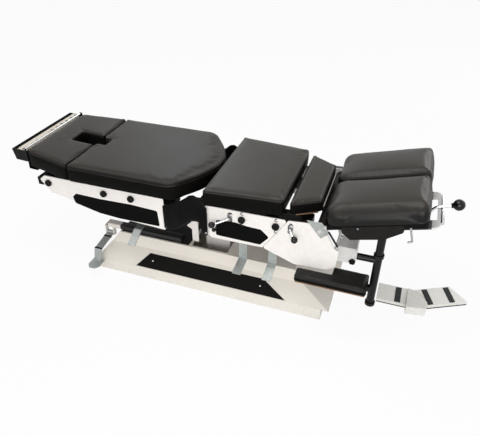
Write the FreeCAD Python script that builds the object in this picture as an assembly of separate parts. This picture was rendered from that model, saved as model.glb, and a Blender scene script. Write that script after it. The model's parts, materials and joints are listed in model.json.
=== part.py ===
import FreeCAD, Part
import os
from math import acos, asin, cos, hypot, pi, radians, sin, tan
from FreeCAD import Vector

os.makedirs("parts", exist_ok=True)

# A height-adjustable treatment table with a flexing caudal section, three drop sections,
# a tilting head section and a separate foot control. Millimetres. X points to the head end,
# Y away from the operator, Z up. The origin is on the floor under the centre of the base.

# Heights and lengths of the whole table
table_top = 639.0
cushion_thickness = 88.5
soft_gap = 0.3
running_clearance = 0.05
slide_clearance = 1.0
overrun = 20.0

# Base pan and cover
base_length = 1221.0
base_width = 490.0
pan_floor = 10.0
pan_wall = 3.0
pan_height = 64.0
cover_wall = 3.0
cover_overhang = 36.0
cover_skirt_rise = 76.0
cover_upper_rise = 60.0
cover_side_mid_inset = 73.0
cover_side_top_inset = 87.0
cover_left_mid_inset = 65.0
cover_left_top_inset = 110.0
cover_right_mid_inset = 147.0
cover_right_top_inset = 192.0
cover_hole_left = 90.0
cover_hole_right = 103.0
cover_hole_width = 290.0

# Black kick panels on the long slopes of the cover
kick_low_left = 372.0
kick_low_right = 431.0
kick_high_left = 312.0
kick_high_right = 310.0
kick_foot = 5.0
kick_height = 55.0
kick_thickness = 3.0

# Black deck on the top of the cover and the white beam at the foot end
deck_length = 385.0
deck_width = 300.0
deck_thickness = 6.0
deck_end_margin = 10.0
beam_length = 430.0
beam_width = 42.0
beam_height = 26.0
beam_corner = 6.0
beam_left = -577.0
yoke_lap = 80.0

# Telescopic column and its actuator
column_x = 18.0
column_length = 136.0
column_width = 110.0
column_wall = 6.0
column_low_top = 300.0
column_gap = 2.0
column_corner = 8.0
groove_count = 5
groove_width = 8.0
groove_depth = 2.0
inner_foot_gap = 6.0
actuator_radius = 26.0
actuator_height = 240.0
actuator_rod_radius = 14.0

# Lift frame
column_cap = 10.0
saddle_height = 65.0
saddle_length = 126.0
frame_tube_width = 40.0
frame_tube_height = 50.0
frame_tube_low = 470.0
lift_tube_inner = 134.0
lift_tube_left = 0.0
lift_tube_reach = 93.0
cross_tube_width = 30.0
cross_tube_height = 40.0
cross_tube_rise = 10.0
lug_thickness = 12.0
lug_gap = 4.0
lug_right = 60.0
lug_bottom = 30.0

# Hook plate beside the column
hook_x = -76.0
hook_y = 118.0
hook_width = 34.0
hook_bottom = 215.0
hook_tip_high = 331.0
hook_tip_low = 303.0
hook_reach = 28.0

# Flexion hinge
hinge_x = -50.0
hinge_z = 440.0
hinge_radius = 15.0
hinge_boss = 30.0
hinge_head = 6.0
arm_reach = 250.0

# Side plates
plate_thickness = 5.0
caudal_plate_face = 265.0
thoracic_plate_face = 257.0
caudal_plate_right = -161.0
caudal_plate_length = 700.0
caudal_plate_top = 538.0
caudal_plate_height = 177.0
thoracic_plate_left = 44.0
thoracic_plate_length = 383.0
thoracic_plate_top = 542.0
thoracic_plate_height = 172.0
head_plate_length = 344.0
head_plate_bottom = 316.0
head_plate_height = 239.0
plate_gap = 2.0
inset_thickness = 2.0
plate_corner = 10.0

# Flexion frame
caudal_tube_left = -860.0
caudal_tube_right = -130.0
caudal_tube_inner = 150.0

# Cushions of the flexing section
ankle_left = -912.0
ankle_right = -655.0
ankle_tilt = 3.5
ankle_end_width = 486.0
ankle_width = 580.0
pelvic_left = -650.0
pelvic_nose = 36.0
pelvic_width = 584.0
pelvic_shoulder = -106.0
pelvic_cheek = -13.0
pelvic_cheek_width = 318.0
pelvic_nose_width = 94.0
breath_hole_left = -780.0
breath_hole_mouth = 100.0
breath_hole_right = -594.0
breath_hole_throat = 64.0
breath_hole_chamfer = 14.0
cushion_corner = 14.0
pelvic_shoulder_radius = 90.0
pelvic_cheek_radius = 300.0
pelvic_nose_radius = 130.0
notch_corner = 8.0

# Thoracic and cervical cushions
thoracic_left = 43.0
thoracic_cushion_back = 24.0
thoracic_left_width = 576.0
thoracic_right_width = 506.0
cervical_cushion_back = 5.0
cervical_length = 132.0
cervical_left_width = 490.0
cervical_right_width = 334.0
cervical_thickness = 62.0
cervical_step = 17.0
crown_height = 5.0
draw_in = 5.0
edge_round = 8.0
board_thickness = 16.0
board_margin = 45.0
guide_radius = 8.0
guide_length = 66.0
guide_pitch = 220.0
guide_inset = 62.0

# Head section, laid out along its own plane from its pivot and then tilted
head_tilt = 15.0
pivot_reach = 141.0
pivot_z = 520.0
board_rise = 14.5
pivot_radius = 13.0
hub_radius = 22.0
head_cushion_start = 27.0
head_cushion_length = 414.0
head_cushion_low = 30.0
head_cushion_thickness = 92.0
head_cushion_width = 282.0
head_cushion_gap = 6.0
head_cushion_corner = 52.0
head_edge_round = 36.0
head_board_margin = 16.0
web_face = 124.0
web_thickness = 6.0
web_drop = 80.0
web_length = 404.0
handle_thickness = 8.0
handle_width = 300.0
handle_arm_width = 60.0
handle_start = 304.0
handle_end = 466.0
handle_hole_start = 396.0
handle_rim = 26.0
handle_corner = 34.0
grip_bar_radius = 7.0

# End bracket of the head frame and its lobed knob
end_panel_reach = 213.0
end_panel_low = 345.0
end_panel_high = 432.0
oval_radius = 16.0
oval_y = 190.0
oval_z = 400.0
end_box_length = 86.0
end_box_near = 150.0
end_box_far = 60.0
end_box_low = 302.0
end_box_high = 385.0
lobe_reach = 72.0
lobe_z = 316.0
lobe_radius = 10.0
lobe_depth = 12.0

# Armrests
bracket_thickness = 5.0
bracket_start = 95.0
bracket_length = 247.0
bracket_drop = 65.0
post_reach = 253.0
post_radius = 17.0
post_bottom = 180.0
post_top = 582.0
socket_depth = 30.0
socket_head = 8.0
socket_wall = 5.0
collar_height = 16.0
collar_drop = 122.0
collar_wall = 5.0
grip_stub_radius = 15.0
grip_stub_length = 70.0
arm_pad_length = 318.0
arm_pad_gap = 20.0
arm_pad_step_length = 161.0
arm_pad_top = 314.0
arm_pad_thickness = 30.0
arm_pad_outer = 331.0
arm_pad_narrow = 69.0
arm_pad_wide = 123.0
arm_plate = 5.0
arm_clamp = 24.0
arm_pad_corner = 14.0

# Levers and knobs
bar_width = 40.0
bar_thickness = 6.0
bar_pivot_radius = 11.0
bar_pin_radius = 5.0
pedal_reach = 340.0
pelvic_lever_x = -319.0
pelvic_lever_pivot_y = 200.0
pelvic_lever_pivot_z = 336.0
pelvic_lever_bend_y = 262.0
pelvic_lever_bend_z = 325.0
pelvic_lever_end_z = 282.0
drop_lever_pivot_y = 150.0
drop_lever_pivot_z = 395.0
drop_lever_side_y = 240.0
thoracic_lever_x = 221.0
thoracic_lever_bend_z = 273.0
thoracic_lever_end_z = 257.0
cervical_lever_back = 64.0
cervical_lever_bend_z = 283.0
cervical_lever_end_z = 257.0
end_lever_x = -578.0
end_lever_pivot_y = 129.0
end_lever_z = 160.0
end_lever_bend_y = 265.0
end_lever_end_z = 72.0
end_lever_end_y = 345.0
end_pedal_width = 64.0
bracket_plate = 5.0
bracket_width = 44.0
knob_radius = 17.0
knob_depth = 14.0
knob_stem_radius = 5.0
stem_share = 0.8
tension_knob_x = 220.0
drop_knob_back = 51.0
caudal_knob_shares = (-0.9, -0.4514, -0.2414)
knob_z = 503.0
slot_width = 24.0
slot_height = 58.0
tension_slot_x = 163.0
tension_slot_z = 500.0
lever_rod_radius = 5.0
tension_ball_radius = 15.0
tension_ball_x = 90.0
tension_ball_y = 297.0
tension_ball_z = 470.0
lock_slot_reach = 14.0
lock_slot_z = 503.0
lock_ball_reach = 25.0
lock_ball_y = 280.0
lock_ball_z = 466.0
release_rod_radius = 6.0
release_ball_radius = 25.0
release_start = 334.0
release_drop = 100.0
release_elbow = 409.0
release_knee = 444.0
release_knee_drop = 72.0
release_end = 538.0
release_end_drop = 66.0
release_half = 10.0
wire_u = 358.0
wire_y = 200.0
wire_radius = 4.5
wire_seat = 8.0
wire_drop = 114.0
wire_hook = 20.0

# Paper roll at the foot end
roll_radius = 27.0
roll_width = 466.0
roll_x = -956.0
roll_z = 604.0
tray_lean = 16.0
tray_wall = 3.0
tray_gap = 4.0
spindle_radius = 8.0
cutter_radius = 4.0
cutter_x = -924.0
cutter_z = 636.0
cheek_margin = 6.0

# Waist boot between the caudal and thoracic plates
boot_left = -166.0
boot_right = 56.0
boot_bottom = 368.0
boot_top = 592.0
boot_bulge = 24.0
boot_edge = 22.0
boot_corner = 20.0

# Control cable from the saddle to the base
cable_radius = 2.5

# Foot control on the floor
control_left = 850.0
control_depth = 95.0
control_front_y = -27.0
control_left_length = 141.0
control_front_height = 20.0
control_back_height = 42.0
control_right_length = 213.0
control_turn = 27.0
control_right_skew = 52.0
control_left_skew = 34.0
control_right_x = 1086.0
control_right_y = -4.0
bridge_front_width = 94.0
bridge_front_reach = 42.0
bridge_front_slant = 16.0
bridge_height = 46.0
pedal_length = 84.0
pedal_width = 27.0
pedal_proud = 3.0
pedal_pocket = 8.0
pedal_gap = 0.5
left_pedal_share = 0.70
right_pedal_shares = (0.12, 0.65)

# Outlines as shares of the plate that they belong to, chosen by hand
caudal_outline_shares = ((0.0, 0.0), (-0.315, 0.064), (-0.514, 0.142), (-0.71, 0.344), (-0.896, 0.497),
                         (-0.973, 0.864), (-0.93, 1.0), (0.0, 1.0))
caudal_inset_shares = ((-0.044, 0.078), (-0.356, 0.062), (-0.516, 0.107), (-0.706, 0.282),
                       (-0.72, 0.476), (-0.687, 0.61), (-0.493, 0.588), (-0.256, 0.61), (-0.053, 0.57))
thoracic_outline_shares = ((0.022, 0.105), (0.072, 0.0), (0.712, 0.013), (1.0, 1.0), (0.0, 1.0))
thoracic_inset_shares = ((0.128, 0.11), (0.684, 0.087), (0.791, 0.373), (0.692, 0.576),
                         (0.522, 0.593), (0.374, 0.646), (0.136, 0.605))
head_outline_shares = ((0.0, 0.275), (0.43, 0.0), (0.86, 0.03), (0.965, 0.14), (0.985, 0.51),
                       (0.93, 0.525), (0.80, 0.86), (0.765, 1.0), (0.0, 1.0))
boot_shares = ((0.0, 0.0), (1.0, 0.0), (1.0, 0.705), (0.847, 0.929), (0.685, 1.0), (0.505, 0.884),
               (0.243, 0.625), (0.0, 0.58))
boot_arch_shares = ((0.14, -0.02), (0.847, -0.02), (0.847, 0.353), (0.61, 0.353))
bracket_shares = ((0.0, 0.0), (0.0, -0.42), (0.113, -0.97), (0.67, -1.0), (0.975, -0.54), (1.0, -0.33),
                  (1.0, 0.0))
cushion_profile_shares = ((0.0, 1.0), (0.10, 0.35), (0.30, 0.04), (0.52, 0.0), (0.72, 0.10))
control_cable_points = ((-14.0, -96.0, 403.6), (-17.0, -110.0, 372.0), (-25.0, -117.0, 330.0),
                        (-40.0, -118.0, 290.0), (-56.0, -112.0, 250.0), (-62.0, -104.0, 216.0))

head_plate_start = thoracic_plate_left + thoracic_plate_length
lift_tube_right = head_plate_start + lift_tube_reach
thoracic_right = head_plate_start - thoracic_cushion_back
cervical_left = head_plate_start - cervical_cushion_back
cervical_right = cervical_left + cervical_length
cervical_lever_x = head_plate_start - cervical_lever_back
drop_knob_x = head_plate_start - drop_knob_back
lock_slot_x = head_plate_start + lock_slot_reach
lock_ball_x = lock_slot_x + lock_ball_reach
pivot_x = head_plate_start + pivot_reach
post_x = pivot_x + post_reach
arm_pad_right = post_x - arm_pad_gap
arm_pad_left = arm_pad_right - arm_pad_length
arm_pad_step = arm_pad_right - arm_pad_step_length
end_panel_x = head_plate_start + end_panel_reach
end_box_right = end_panel_x + end_box_length
lobe_x = end_panel_x + lobe_reach
caudal_knobs_x = [caudal_plate_right + share * caudal_plate_length for share in caudal_knob_shares]
half_base = base_length / 2
half_width = base_width / 2
cover_mid_z = pan_height + cover_skirt_rise
cover_top_z = cover_mid_z + cover_upper_rise
cushion_low = table_top - cushion_thickness
frame_tube_top = frame_tube_low + frame_tube_height


def export(name, shape):
    shape.exportStep("parts/" + name + ".step")
    print(name, len(shape.Solids), round(shape.Volume / 1000, 1), shape.isValid())


def box(x0, x1, y0, y1, z0, z1):
    return Part.makeBox(x1 - x0, y1 - y0, z1 - z0, Vector(x0, y0, z0))


def rod(radius, start, end):
    a = Vector(*start)
    b = Vector(*end)
    return Part.makeCylinder(radius, (b - a).Length, a, b - a)


def join(shapes):
    whole = shapes[0].fuse(shapes[1:]) if len(shapes) > 1 else shapes[0]
    return whole.removeSplitter()


def mirror_y(shape):
    return shape.mirror(Vector(0, 0, 0), Vector(0, 1, 0))


def pair(shape):
    return Part.makeCompound([shape, mirror_y(shape)])


def scaled(shares, x0, length, z0, height):
    return [(x0 + a * length, z0 + b * height) for a, b in shares]


def inset_points(points, inset):
    """Moves every edge of a counter-clockwise outline inwards by the inset and meets them again."""
    moved = []
    count = len(points)
    for i in range(count):
        ax, ay = points[i - 1]
        bx, by = points[i]
        cx, cy = points[(i + 1) % count]
        d1x, d1y = bx - ax, by - ay
        d2x, d2y = cx - bx, cy - by
        l1, l2 = hypot(d1x, d1y), hypot(d2x, d2y)
        p1 = (bx - d1y / l1 * inset, by + d1x / l1 * inset)
        p2 = (bx - d2y / l2 * inset, by + d2x / l2 * inset)
        cross = d1x * d2y - d1y * d2x
        t = ((p2[0] - p1[0]) * d2y - (p2[1] - p1[1]) * d2x) / cross
        moved.append((p1[0] + d1x * t, p1[1] + d1y * t))
    return moved


def rounded_wire(points, radii, inset, place):
    """Closed wire through the outline's points with a tangent arc at each corner.

    Outer corners lose the inset from their radius and inner ones gain it; place turns the
    outline's two coordinates into a point in space."""
    shape = inset_points(points, inset) if inset else list(points)
    count = len(shape)
    spans = []
    for i in range(count):
        b = Vector(shape[i][0], shape[i][1], 0)
        a = Vector(shape[i - 1][0], shape[i - 1][1], 0) - b
        c = Vector(shape[(i + 1) % count][0], shape[(i + 1) % count][1], 0) - b
        room = min(a.Length, c.Length)
        a.normalize()
        c.normalize()
        outer = c.x * a.y - c.y * a.x > 0
        radius = radii[i] - inset if outer else radii[i] + inset
        half = acos(max(-1.0, min(1.0, a.dot(c)))) / 2
        cut = min(max(radius, radii[i] / 4) / tan(half), room * 0.48)
        middle = a + c
        middle.normalize()
        depth = cut / cos(half) - cut * tan(half)
        spans.append((b + a * cut, b + middle * depth, b + c * cut))
    edges = []
    for i in range(count):
        start, mid, end = [place(p.x, p.y) for p in spans[i]]
        edges.append(Part.Arc(start, mid, end).toShape())
        following = place(spans[(i + 1) % count][0].x, spans[(i + 1) % count][0].y)
        if (following - end).Length > running_clearance / 10:
            edges.append(Part.makeLine(end, following))
    return Part.Wire(edges)


def slab_xz(points, radii, y0, y1):
    wire = rounded_wire(points, radii, 0, lambda a, b: Vector(a, y0, b))
    return Part.Face(wire).extrude(Vector(0, y1 - y0, 0))


def slab_xy(points, radii, z0, z1):
    wire = rounded_wire(points, radii, 0, lambda a, b: Vector(a, b, z0))
    return Part.Face(wire).extrude(Vector(0, 0, z1 - z0))


def sharp(count, radius):
    return [radius] * count


def cushion(points, radii, low, thickness, edge, crown):
    """Crowned pad: drawn-in foot, full waist and a top that rounds over and rises to its crown."""
    levels = []
    shoulder = thickness - edge
    for height_share, inset_share in cushion_profile_shares:
        levels.append((low + shoulder * height_share / cushion_profile_shares[-1][0], draw_in * inset_share))
    base_inset = levels[-1][1]
    for step in (30.0, 60.0, 82.0):
        angle = radians(step)
        levels.append((low + shoulder + (edge - crown) * sin(angle), base_inset + edge * (1 - cos(angle))))
    levels.append((low + thickness, base_inset + edge * 2))
    wires = []
    for z, inset in levels:
        wires.append(rounded_wire(points, radii, inset, lambda a, b, z=z: Vector(a, b, z)))
    return Part.makeLoft(wires, True, True, False)


def tilt(shape):
    """Carries a piece of the head section from its own plane to its place on the pivot."""
    turned = shape.copy()
    turned.rotate(Vector(0, 0, 0), Vector(0, 1, 0), -head_tilt)
    turned.translate(Vector(pivot_x, 0, pivot_z))
    return turned


def path_tube(points, radius):
    """Tube along straight runs joined by tangent arcs, each arc as large as its two runs allow."""
    nodes = [Vector(*p) for p in points]
    edges = []
    at = nodes[0]
    least = None
    for i in range(1, len(nodes) - 1):
        before = nodes[i - 1] - nodes[i]
        after = nodes[i + 1] - nodes[i]
        cut = min(before.Length, after.Length) * 0.45
        before.normalize()
        after.normalize()
        turn = pi - acos(max(-1.0, min(1.0, before.dot(after))))
        bend = cut / tan(turn / 2)
        least = bend if least is None else min(least, bend)
        start = nodes[i] + before * cut
        end = nodes[i] + after * cut
        middle = before + after
        middle.normalize()
        mid = nodes[i] + middle * (bend / cos(turn / 2) - bend)
        edges.append(Part.makeLine(at, start))
        edges.append(Part.Arc(start, mid, end).toShape())
        at = end
    edges.append(Part.makeLine(at, nodes[-1]))
    path = Part.Wire(edges)
    circle = Part.Wire([Part.Circle(nodes[0], nodes[1] - nodes[0], radius).toShape()])
    tube = path.makePipeShell([circle], True, False)
    print("least bend radius", round(least, 1), "length", round(path.Length, 1),
          "volume share", round(tube.Volume / (pi * radius ** 2 * path.Length), 4))
    return tube


def frustum(x_low, y_low, z_low, x_high, y_high, z_high):
    """Closed four-sided hipped form between two rectangles, each given by its X ends and half width."""
    def ring(ends, half, z):
        corners = [Vector(ends[0], -half, z), Vector(ends[1], -half, z),
                   Vector(ends[1], half, z), Vector(ends[0], half, z)]
        return Part.makePolygon(corners + corners[:1])
    return Part.makeLoft([ring(x_low, y_low, z_low), ring(x_high, y_high, z_high)], True, True, False)


def cover_body(shrink):
    """The cover's outer form, or the hollow inside it when shrunk by the wall."""
    low = (-half_base + shrink, half_base + cover_overhang - shrink)
    mid = (-half_base + cover_left_mid_inset + shrink,
           half_base + cover_overhang - cover_right_mid_inset - shrink)
    top = (-half_base + cover_left_top_inset + shrink,
           half_base + cover_overhang - cover_right_top_inset - shrink)
    foot = pan_height if shrink == 0 else pan_height - shrink
    lower = frustum(low, half_width - shrink, foot, mid, half_width - cover_side_mid_inset - shrink,
                    cover_mid_z - shrink)
    upper = frustum(mid, half_width - cover_side_mid_inset - shrink, cover_mid_z - shrink,
                    top, half_width - cover_side_top_inset - shrink, cover_top_z - shrink)
    return lower.fuse(upper)


def base_pan():
    outer = box(-half_base, half_base, -half_width, half_width, 0, pan_height)
    inner = box(-half_base + pan_wall, half_base - pan_wall, -half_width + pan_wall, half_width - pan_wall,
                pan_floor, pan_height + overrun)
    return outer.cut(inner)


def base_cover():
    shell = cover_body(0).cut(cover_body(cover_wall))
    hole = box(-cover_hole_left, cover_hole_right, -cover_hole_width / 2, cover_hole_width / 2,
               cover_mid_z, cover_top_z + overrun)
    shell = shell.cut(hole)
    return shell


def kick_panels():
    slope = cover_side_mid_inset / cover_skirt_rise
    lean = hypot(1.0, slope)
    low = pan_height + kick_foot
    high = low + kick_height
    rings = []
    for out in (soft_gap / 3, kick_thickness):
        shift = out * lean
        corners = []
        for x, z in ((-kick_low_left, low), (kick_low_right, low), (kick_high_right, high),
                     (-kick_high_left, high)):
            y = -half_width + (z - pan_height) * slope - shift
            corners.append(Vector(x, y, z))
        rings.append(Part.makePolygon(corners + corners[:1]))
    return pair(Part.makeLoft(rings, True, True, False))


def base_deck():
    x0 = -half_base + cover_left_top_inset + deck_end_margin
    return box(x0, x0 + deck_length, -deck_width / 2, deck_width / 2, cover_top_z,
               cover_top_z + deck_thickness)


def end_beam():
    """White beam on the deck whose free end carries the yoke and pin of the end lever."""
    low = cover_top_z + deck_thickness
    y0 = -end_lever_pivot_y - beam_width / 2
    bar = box(beam_left, beam_left + beam_length, y0, y0 + beam_width, low, low + beam_height)
    edges = [e for e in bar.Edges if abs(e.Length - beam_length) < running_clearance]
    bar = bar.makeFillet(beam_corner, edges)
    half = bar_width / 2 + slide_clearance
    parts = [bar]
    y0 = -end_lever_pivot_y - bar_pivot_radius
    y1 = -end_lever_pivot_y + bar_pivot_radius
    for side in (-1, 1):
        x0, x1 = sorted((end_lever_x + side * half, end_lever_x + side * (half + bracket_plate)))
        parts.append(box(x0, x1, y0, y1, end_lever_z - bar_pivot_radius, low))
    parts.append(box(end_lever_x - half - bracket_plate, beam_left + yoke_lap, y0, y1, low - bracket_plate,
                     low))
    parts.append(rod(bar_pin_radius, (end_lever_x - half, -end_lever_pivot_y, end_lever_z),
                     (end_lever_x + half, -end_lever_pivot_y, end_lever_z)))
    return join(parts)


def column_section(length, width, wall, low, high, corner, grooves):
    half_x, half_y = length / 2, width / 2
    points = [(column_x - half_x, -half_y), (column_x + half_x, -half_y),
              (column_x + half_x, half_y), (column_x - half_x, half_y)]
    body = slab_xy(points, sharp(4, corner), low, high)
    hollow = slab_xy(inset_points(points, wall), sharp(4, corner / 2), low - overrun, high + overrun)
    body = body.cut(hollow)
    if grooves:
        pitch = length / (groove_count + 1)
        for i in range(groove_count):
            x = column_x - half_x + pitch * (i + 1)
            for side in (-1, 1):
                inner = side * (half_y - groove_depth)
                outer = side * (half_y + overrun)
                body = body.cut(box(x - groove_width / 2, x + groove_width / 2, min(inner, outer),
                                    max(inner, outer), low - overrun, high + overrun))
    return body


inner_length = column_length - 2 * (column_wall + column_gap)
inner_width = column_width - 2 * (column_wall + column_gap)
saddle_low = frame_tube_low - saddle_height
cap_low = saddle_low - column_cap
lift_tube_outer = lift_tube_inner + frame_tube_width
lug_inner = lift_tube_outer
lug_outer = lug_inner + lug_thickness
arm_inner = lug_outer + lug_gap
arm_outer = arm_inner + lug_thickness
caudal_tube_outer = caudal_tube_inner + frame_tube_width
thoracic_plate_inner = thoracic_plate_face - plate_thickness
caudal_plate_inner = caudal_plate_face - plate_thickness
cross_low = frame_tube_low + cross_tube_rise
cross_high = cross_low + cross_tube_height


def outer_column():
    return column_section(column_length, column_width, column_wall, pan_floor, column_low_top,
                          column_corner, True)


def inner_column():
    return column_section(inner_length, inner_width, column_wall, pan_floor + inner_foot_gap, cap_low,
                          column_corner / 2, True)


def actuator_body():
    top = pan_floor + actuator_height
    tube = rod(actuator_radius, (column_x, 0, pan_floor), (column_x, 0, top))
    return tube.cut(rod(actuator_rod_radius + slide_clearance, (column_x, 0, pan_floor + inner_foot_gap),
                        (column_x, 0, top + overrun)))


def actuator_rod():
    return rod(actuator_rod_radius, (column_x, 0, pan_floor + 2 * inner_foot_gap), (column_x, 0, cap_low))


def cross_tube(x, face):
    return box(x - cross_tube_width / 2, x + cross_tube_width / 2, -face, face, cross_low, cross_high)


def guide_places(x_list):
    return [(x, side * guide_pitch / 2) for x in x_list for side in (-1, 1)]


thoracic_guides_x = (thoracic_left + guide_inset, thoracic_right - guide_inset)
cervical_guides_x = ((cervical_left + cervical_right) / 2,)
pelvic_guides_x = (pelvic_left + 3 * board_margin + cross_tube_width,
                   -3 * board_margin - 2 * cross_tube_width)


def bored(shape, x_list):
    for x, y in guide_places(x_list):
        shape = shape.cut(rod(guide_radius + running_clearance, (x, y, cross_low - overrun),
                              (x, y, cross_high + overrun)))
    return shape


def lift_frame():
    half_saddle = saddle_length / 2
    parts = [box(column_x - half_saddle, column_x + half_saddle, -lift_tube_outer, lift_tube_outer,
                 saddle_low, frame_tube_low),
             box(column_x - half_saddle, column_x + half_saddle, -column_width / 2, column_width / 2,
                 cap_low, saddle_low)]
    for side in (-1, 1):
        y0, y1 = sorted((side * lift_tube_inner, side * lift_tube_outer))
        parts.append(box(lift_tube_left, lift_tube_right, y0, y1, frame_tube_low, frame_tube_top))
        y0, y1 = sorted((side * lug_inner, side * lug_outer))
        parts.append(box(hinge_x - hinge_boss + overrun, lug_right, y0, y1, hinge_z - lug_bottom,
                         frame_tube_top))
        parts.append(rod(hinge_boss, (hinge_x, y0, hinge_z), (hinge_x, y1, hinge_z)))
    for x in thoracic_guides_x + cervical_guides_x:
        parts.append(cross_tube(x, thoracic_plate_inner))
    for x in (thoracic_lever_x, cervical_lever_x):
        parts.append(lever_hanger(x, -drop_lever_pivot_y, drop_lever_pivot_z))
    parts.append(cable_hook(column_x - half_saddle))
    frame = join(parts)
    frame = frame.cut(rod(hinge_radius, (hinge_x, -arm_outer, hinge_z), (hinge_x, arm_outer, hinge_z)))
    return bored(frame, thoracic_guides_x + cervical_guides_x)


def cable_hook(saddle_left):
    """White hook plate that hangs from the saddle beside the column."""
    left = hook_x - hook_width / 2
    right = hook_x + hook_width / 2
    points = [(left, hook_bottom), (right, hook_bottom), (right, saddle_low),
              (saddle_left + slide_clearance, saddle_low),
              (saddle_left + slide_clearance, frame_tube_low), (left, frame_tube_low), (left, hook_tip_high),
              (left - hook_reach, hook_tip_low), (left, hook_tip_low - hook_width / 2)]
    plate = slab_xz(points, sharp(len(points), slide_clearance * 2), -hook_y - bracket_plate, -hook_y)
    return plate


def flexion_pin():
    reach = arm_outer + slide_clearance
    shaft = rod(hinge_radius, (hinge_x, -reach, hinge_z), (hinge_x, reach, hinge_z))
    heads = [rod(hinge_radius + hinge_head, (hinge_x, side * reach, hinge_z),
                 (hinge_x, side * (reach + hinge_head), hinge_z)) for side in (-1, 1)]
    return join([shaft] + heads)


def caudal_frame():
    parts = []
    for side in (-1, 1):
        y0, y1 = sorted((side * caudal_tube_inner, side * caudal_tube_outer))
        parts.append(box(caudal_tube_left, caudal_tube_right, y0, y1, frame_tube_low, frame_tube_top))
        y0, y1 = sorted((side * arm_inner, side * arm_outer))
        parts.append(box(hinge_x - arm_reach, hinge_x, y0, y1, hinge_z - lug_bottom, hinge_z + lug_bottom))
        parts.append(box(hinge_x - arm_reach, caudal_tube_right, y0, y1, hinge_z, frame_tube_top))
        parts.append(rod(hinge_boss, (hinge_x, y0, hinge_z), (hinge_x, y1, hinge_z)))
    for x in (caudal_tube_left + cross_tube_width / 2,) + pelvic_guides_x:
        parts.append(cross_tube(x, caudal_plate_inner))
    parts.append(lever_hanger(pelvic_lever_x, -pelvic_lever_pivot_y, pelvic_lever_pivot_z))
    frame = join(parts)
    frame = frame.cut(rod(hinge_radius + running_clearance, (hinge_x, -arm_outer, hinge_z),
                          (hinge_x, arm_outer, hinge_z)))
    return bored(frame, pelvic_guides_x)


def lever_hanger(x, y, z):
    """Two plates that hang from the tube beside a lever and hold its pin, with the pin between them."""
    plates = []
    half = bar_width / 2 + slide_clearance
    for side in (-1, 1):
        x0, x1 = sorted((x + side * half, x + side * (half + bracket_plate)))
        plates.append(box(x0, x1, y - bar_pivot_radius, y + bracket_width, z - bar_pivot_radius,
                          frame_tube_low))
    plates.append(box(x - half - bracket_plate, x + half + bracket_plate, y + bracket_width - bracket_plate,
                      y + bracket_width, z + bar_pivot_radius * 2, frame_tube_low))
    plates.append(rod(bar_pin_radius, (x - half, y, z), (x + half, y, z)))
    return join(plates)


def bar_lever(x, route, width, pad):
    """Flat bar along a route of (y, z) points, square to X, with a bored barrel at its first point."""
    bars = []
    half = width / 2
    for (y0, z0), (y1, z1) in zip(route[:-1], route[1:]):
        run = Vector(0, y1 - y0, z1 - z0)
        across = Vector(0, -run.z, run.y)
        across.normalize()
        across = across * (bar_thickness / 2)
        a = Vector(x - half, y0, z0)
        b = Vector(x - half, y1, z1)
        face = Part.Face(Part.makePolygon([a - across, b - across, b + across, a + across, a - across]))
        bars.append(face.extrude(Vector(width, 0, 0)))
    for y, z in route[1:-1]:
        bars.append(rod(bar_thickness / 2, (x - half, y, z), (x + half, y, z)))
    y, z = route[0]
    bars.append(rod(bar_pivot_radius, (x - bar_width / 2, y, z), (x + bar_width / 2, y, z)))
    lever = join(bars)
    if pad:
        lever = join([lever, pad])
    return lever.cut(rod(bar_pin_radius + running_clearance, (x - width, y, z), (x + width, y, z)))


def pelvic_lever():
    return bar_lever(pelvic_lever_x, ((-pelvic_lever_pivot_y, pelvic_lever_pivot_z),
                                      (-pelvic_lever_bend_y, pelvic_lever_bend_z),
                                      (-pedal_reach, pelvic_lever_end_z)), bar_width, None)


def drop_lever(x, bend_z, end_z):
    return bar_lever(x, ((-drop_lever_pivot_y, drop_lever_pivot_z), (-drop_lever_side_y, drop_lever_pivot_z),
                         (-drop_lever_side_y, bend_z), (-pedal_reach, end_z)), bar_width, None)


def end_lever():
    half = end_pedal_width / 2
    points = [(end_lever_x - half, -end_lever_end_y + bar_width / 2),
              (end_lever_x - half / 2, -end_lever_end_y),
              (end_lever_x + half / 2, -end_lever_end_y),
              (end_lever_x + half, -end_lever_end_y + bar_width / 2),
              (end_lever_x + half, -end_lever_bend_y), (end_lever_x - half, -end_lever_bend_y)]
    pad = slab_xy(points, sharp(6, bar_thickness), end_lever_end_z, end_lever_end_z + bar_thickness)
    return bar_lever(end_lever_x, ((-end_lever_pivot_y, end_lever_z), (-end_lever_bend_y,
                                                                       end_lever_z - bar_width / 2),
                                   (-end_lever_bend_y - bar_width / 2, end_lever_end_z + bar_thickness / 2)),
                     bar_width, pad)


def slot_cut(x, z, y):
    half = slot_width / 2
    straight = slot_height / 2 - half
    cut = box(x - half, x + half, y - overrun, y + overrun, z - straight, z + straight)
    for side in (-1, 1):
        cut = cut.fuse(rod(half, (x, y - overrun, z + side * straight),
                           (x, y + overrun, z + side * straight)))
    return cut


def stem_cut(x, y):
    return rod(knob_stem_radius + running_clearance, (x, y - overrun, knob_z), (x, y + overrun, knob_z))


def caudal_plate():
    points = scaled(caudal_outline_shares, caudal_plate_right, caudal_plate_length,
                    caudal_plate_top - caudal_plate_height, caudal_plate_height)[::-1]
    plate = slab_xz(points, sharp(len(points), plate_corner), -caudal_plate_face, -caudal_plate_inner)
    return plate.cut(caudal_inset())


def caudal_inset():
    points = scaled(caudal_inset_shares, caudal_plate_right, caudal_plate_length,
                    caudal_plate_top - caudal_plate_height, caudal_plate_height)[::-1]
    return slab_xz(points, sharp(len(points), plate_corner), -caudal_plate_face,
                   -caudal_plate_face + inset_thickness)


def thoracic_points():
    return scaled(thoracic_outline_shares, thoracic_plate_left, thoracic_plate_length,
                  thoracic_plate_top - thoracic_plate_height, thoracic_plate_height)


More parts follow.
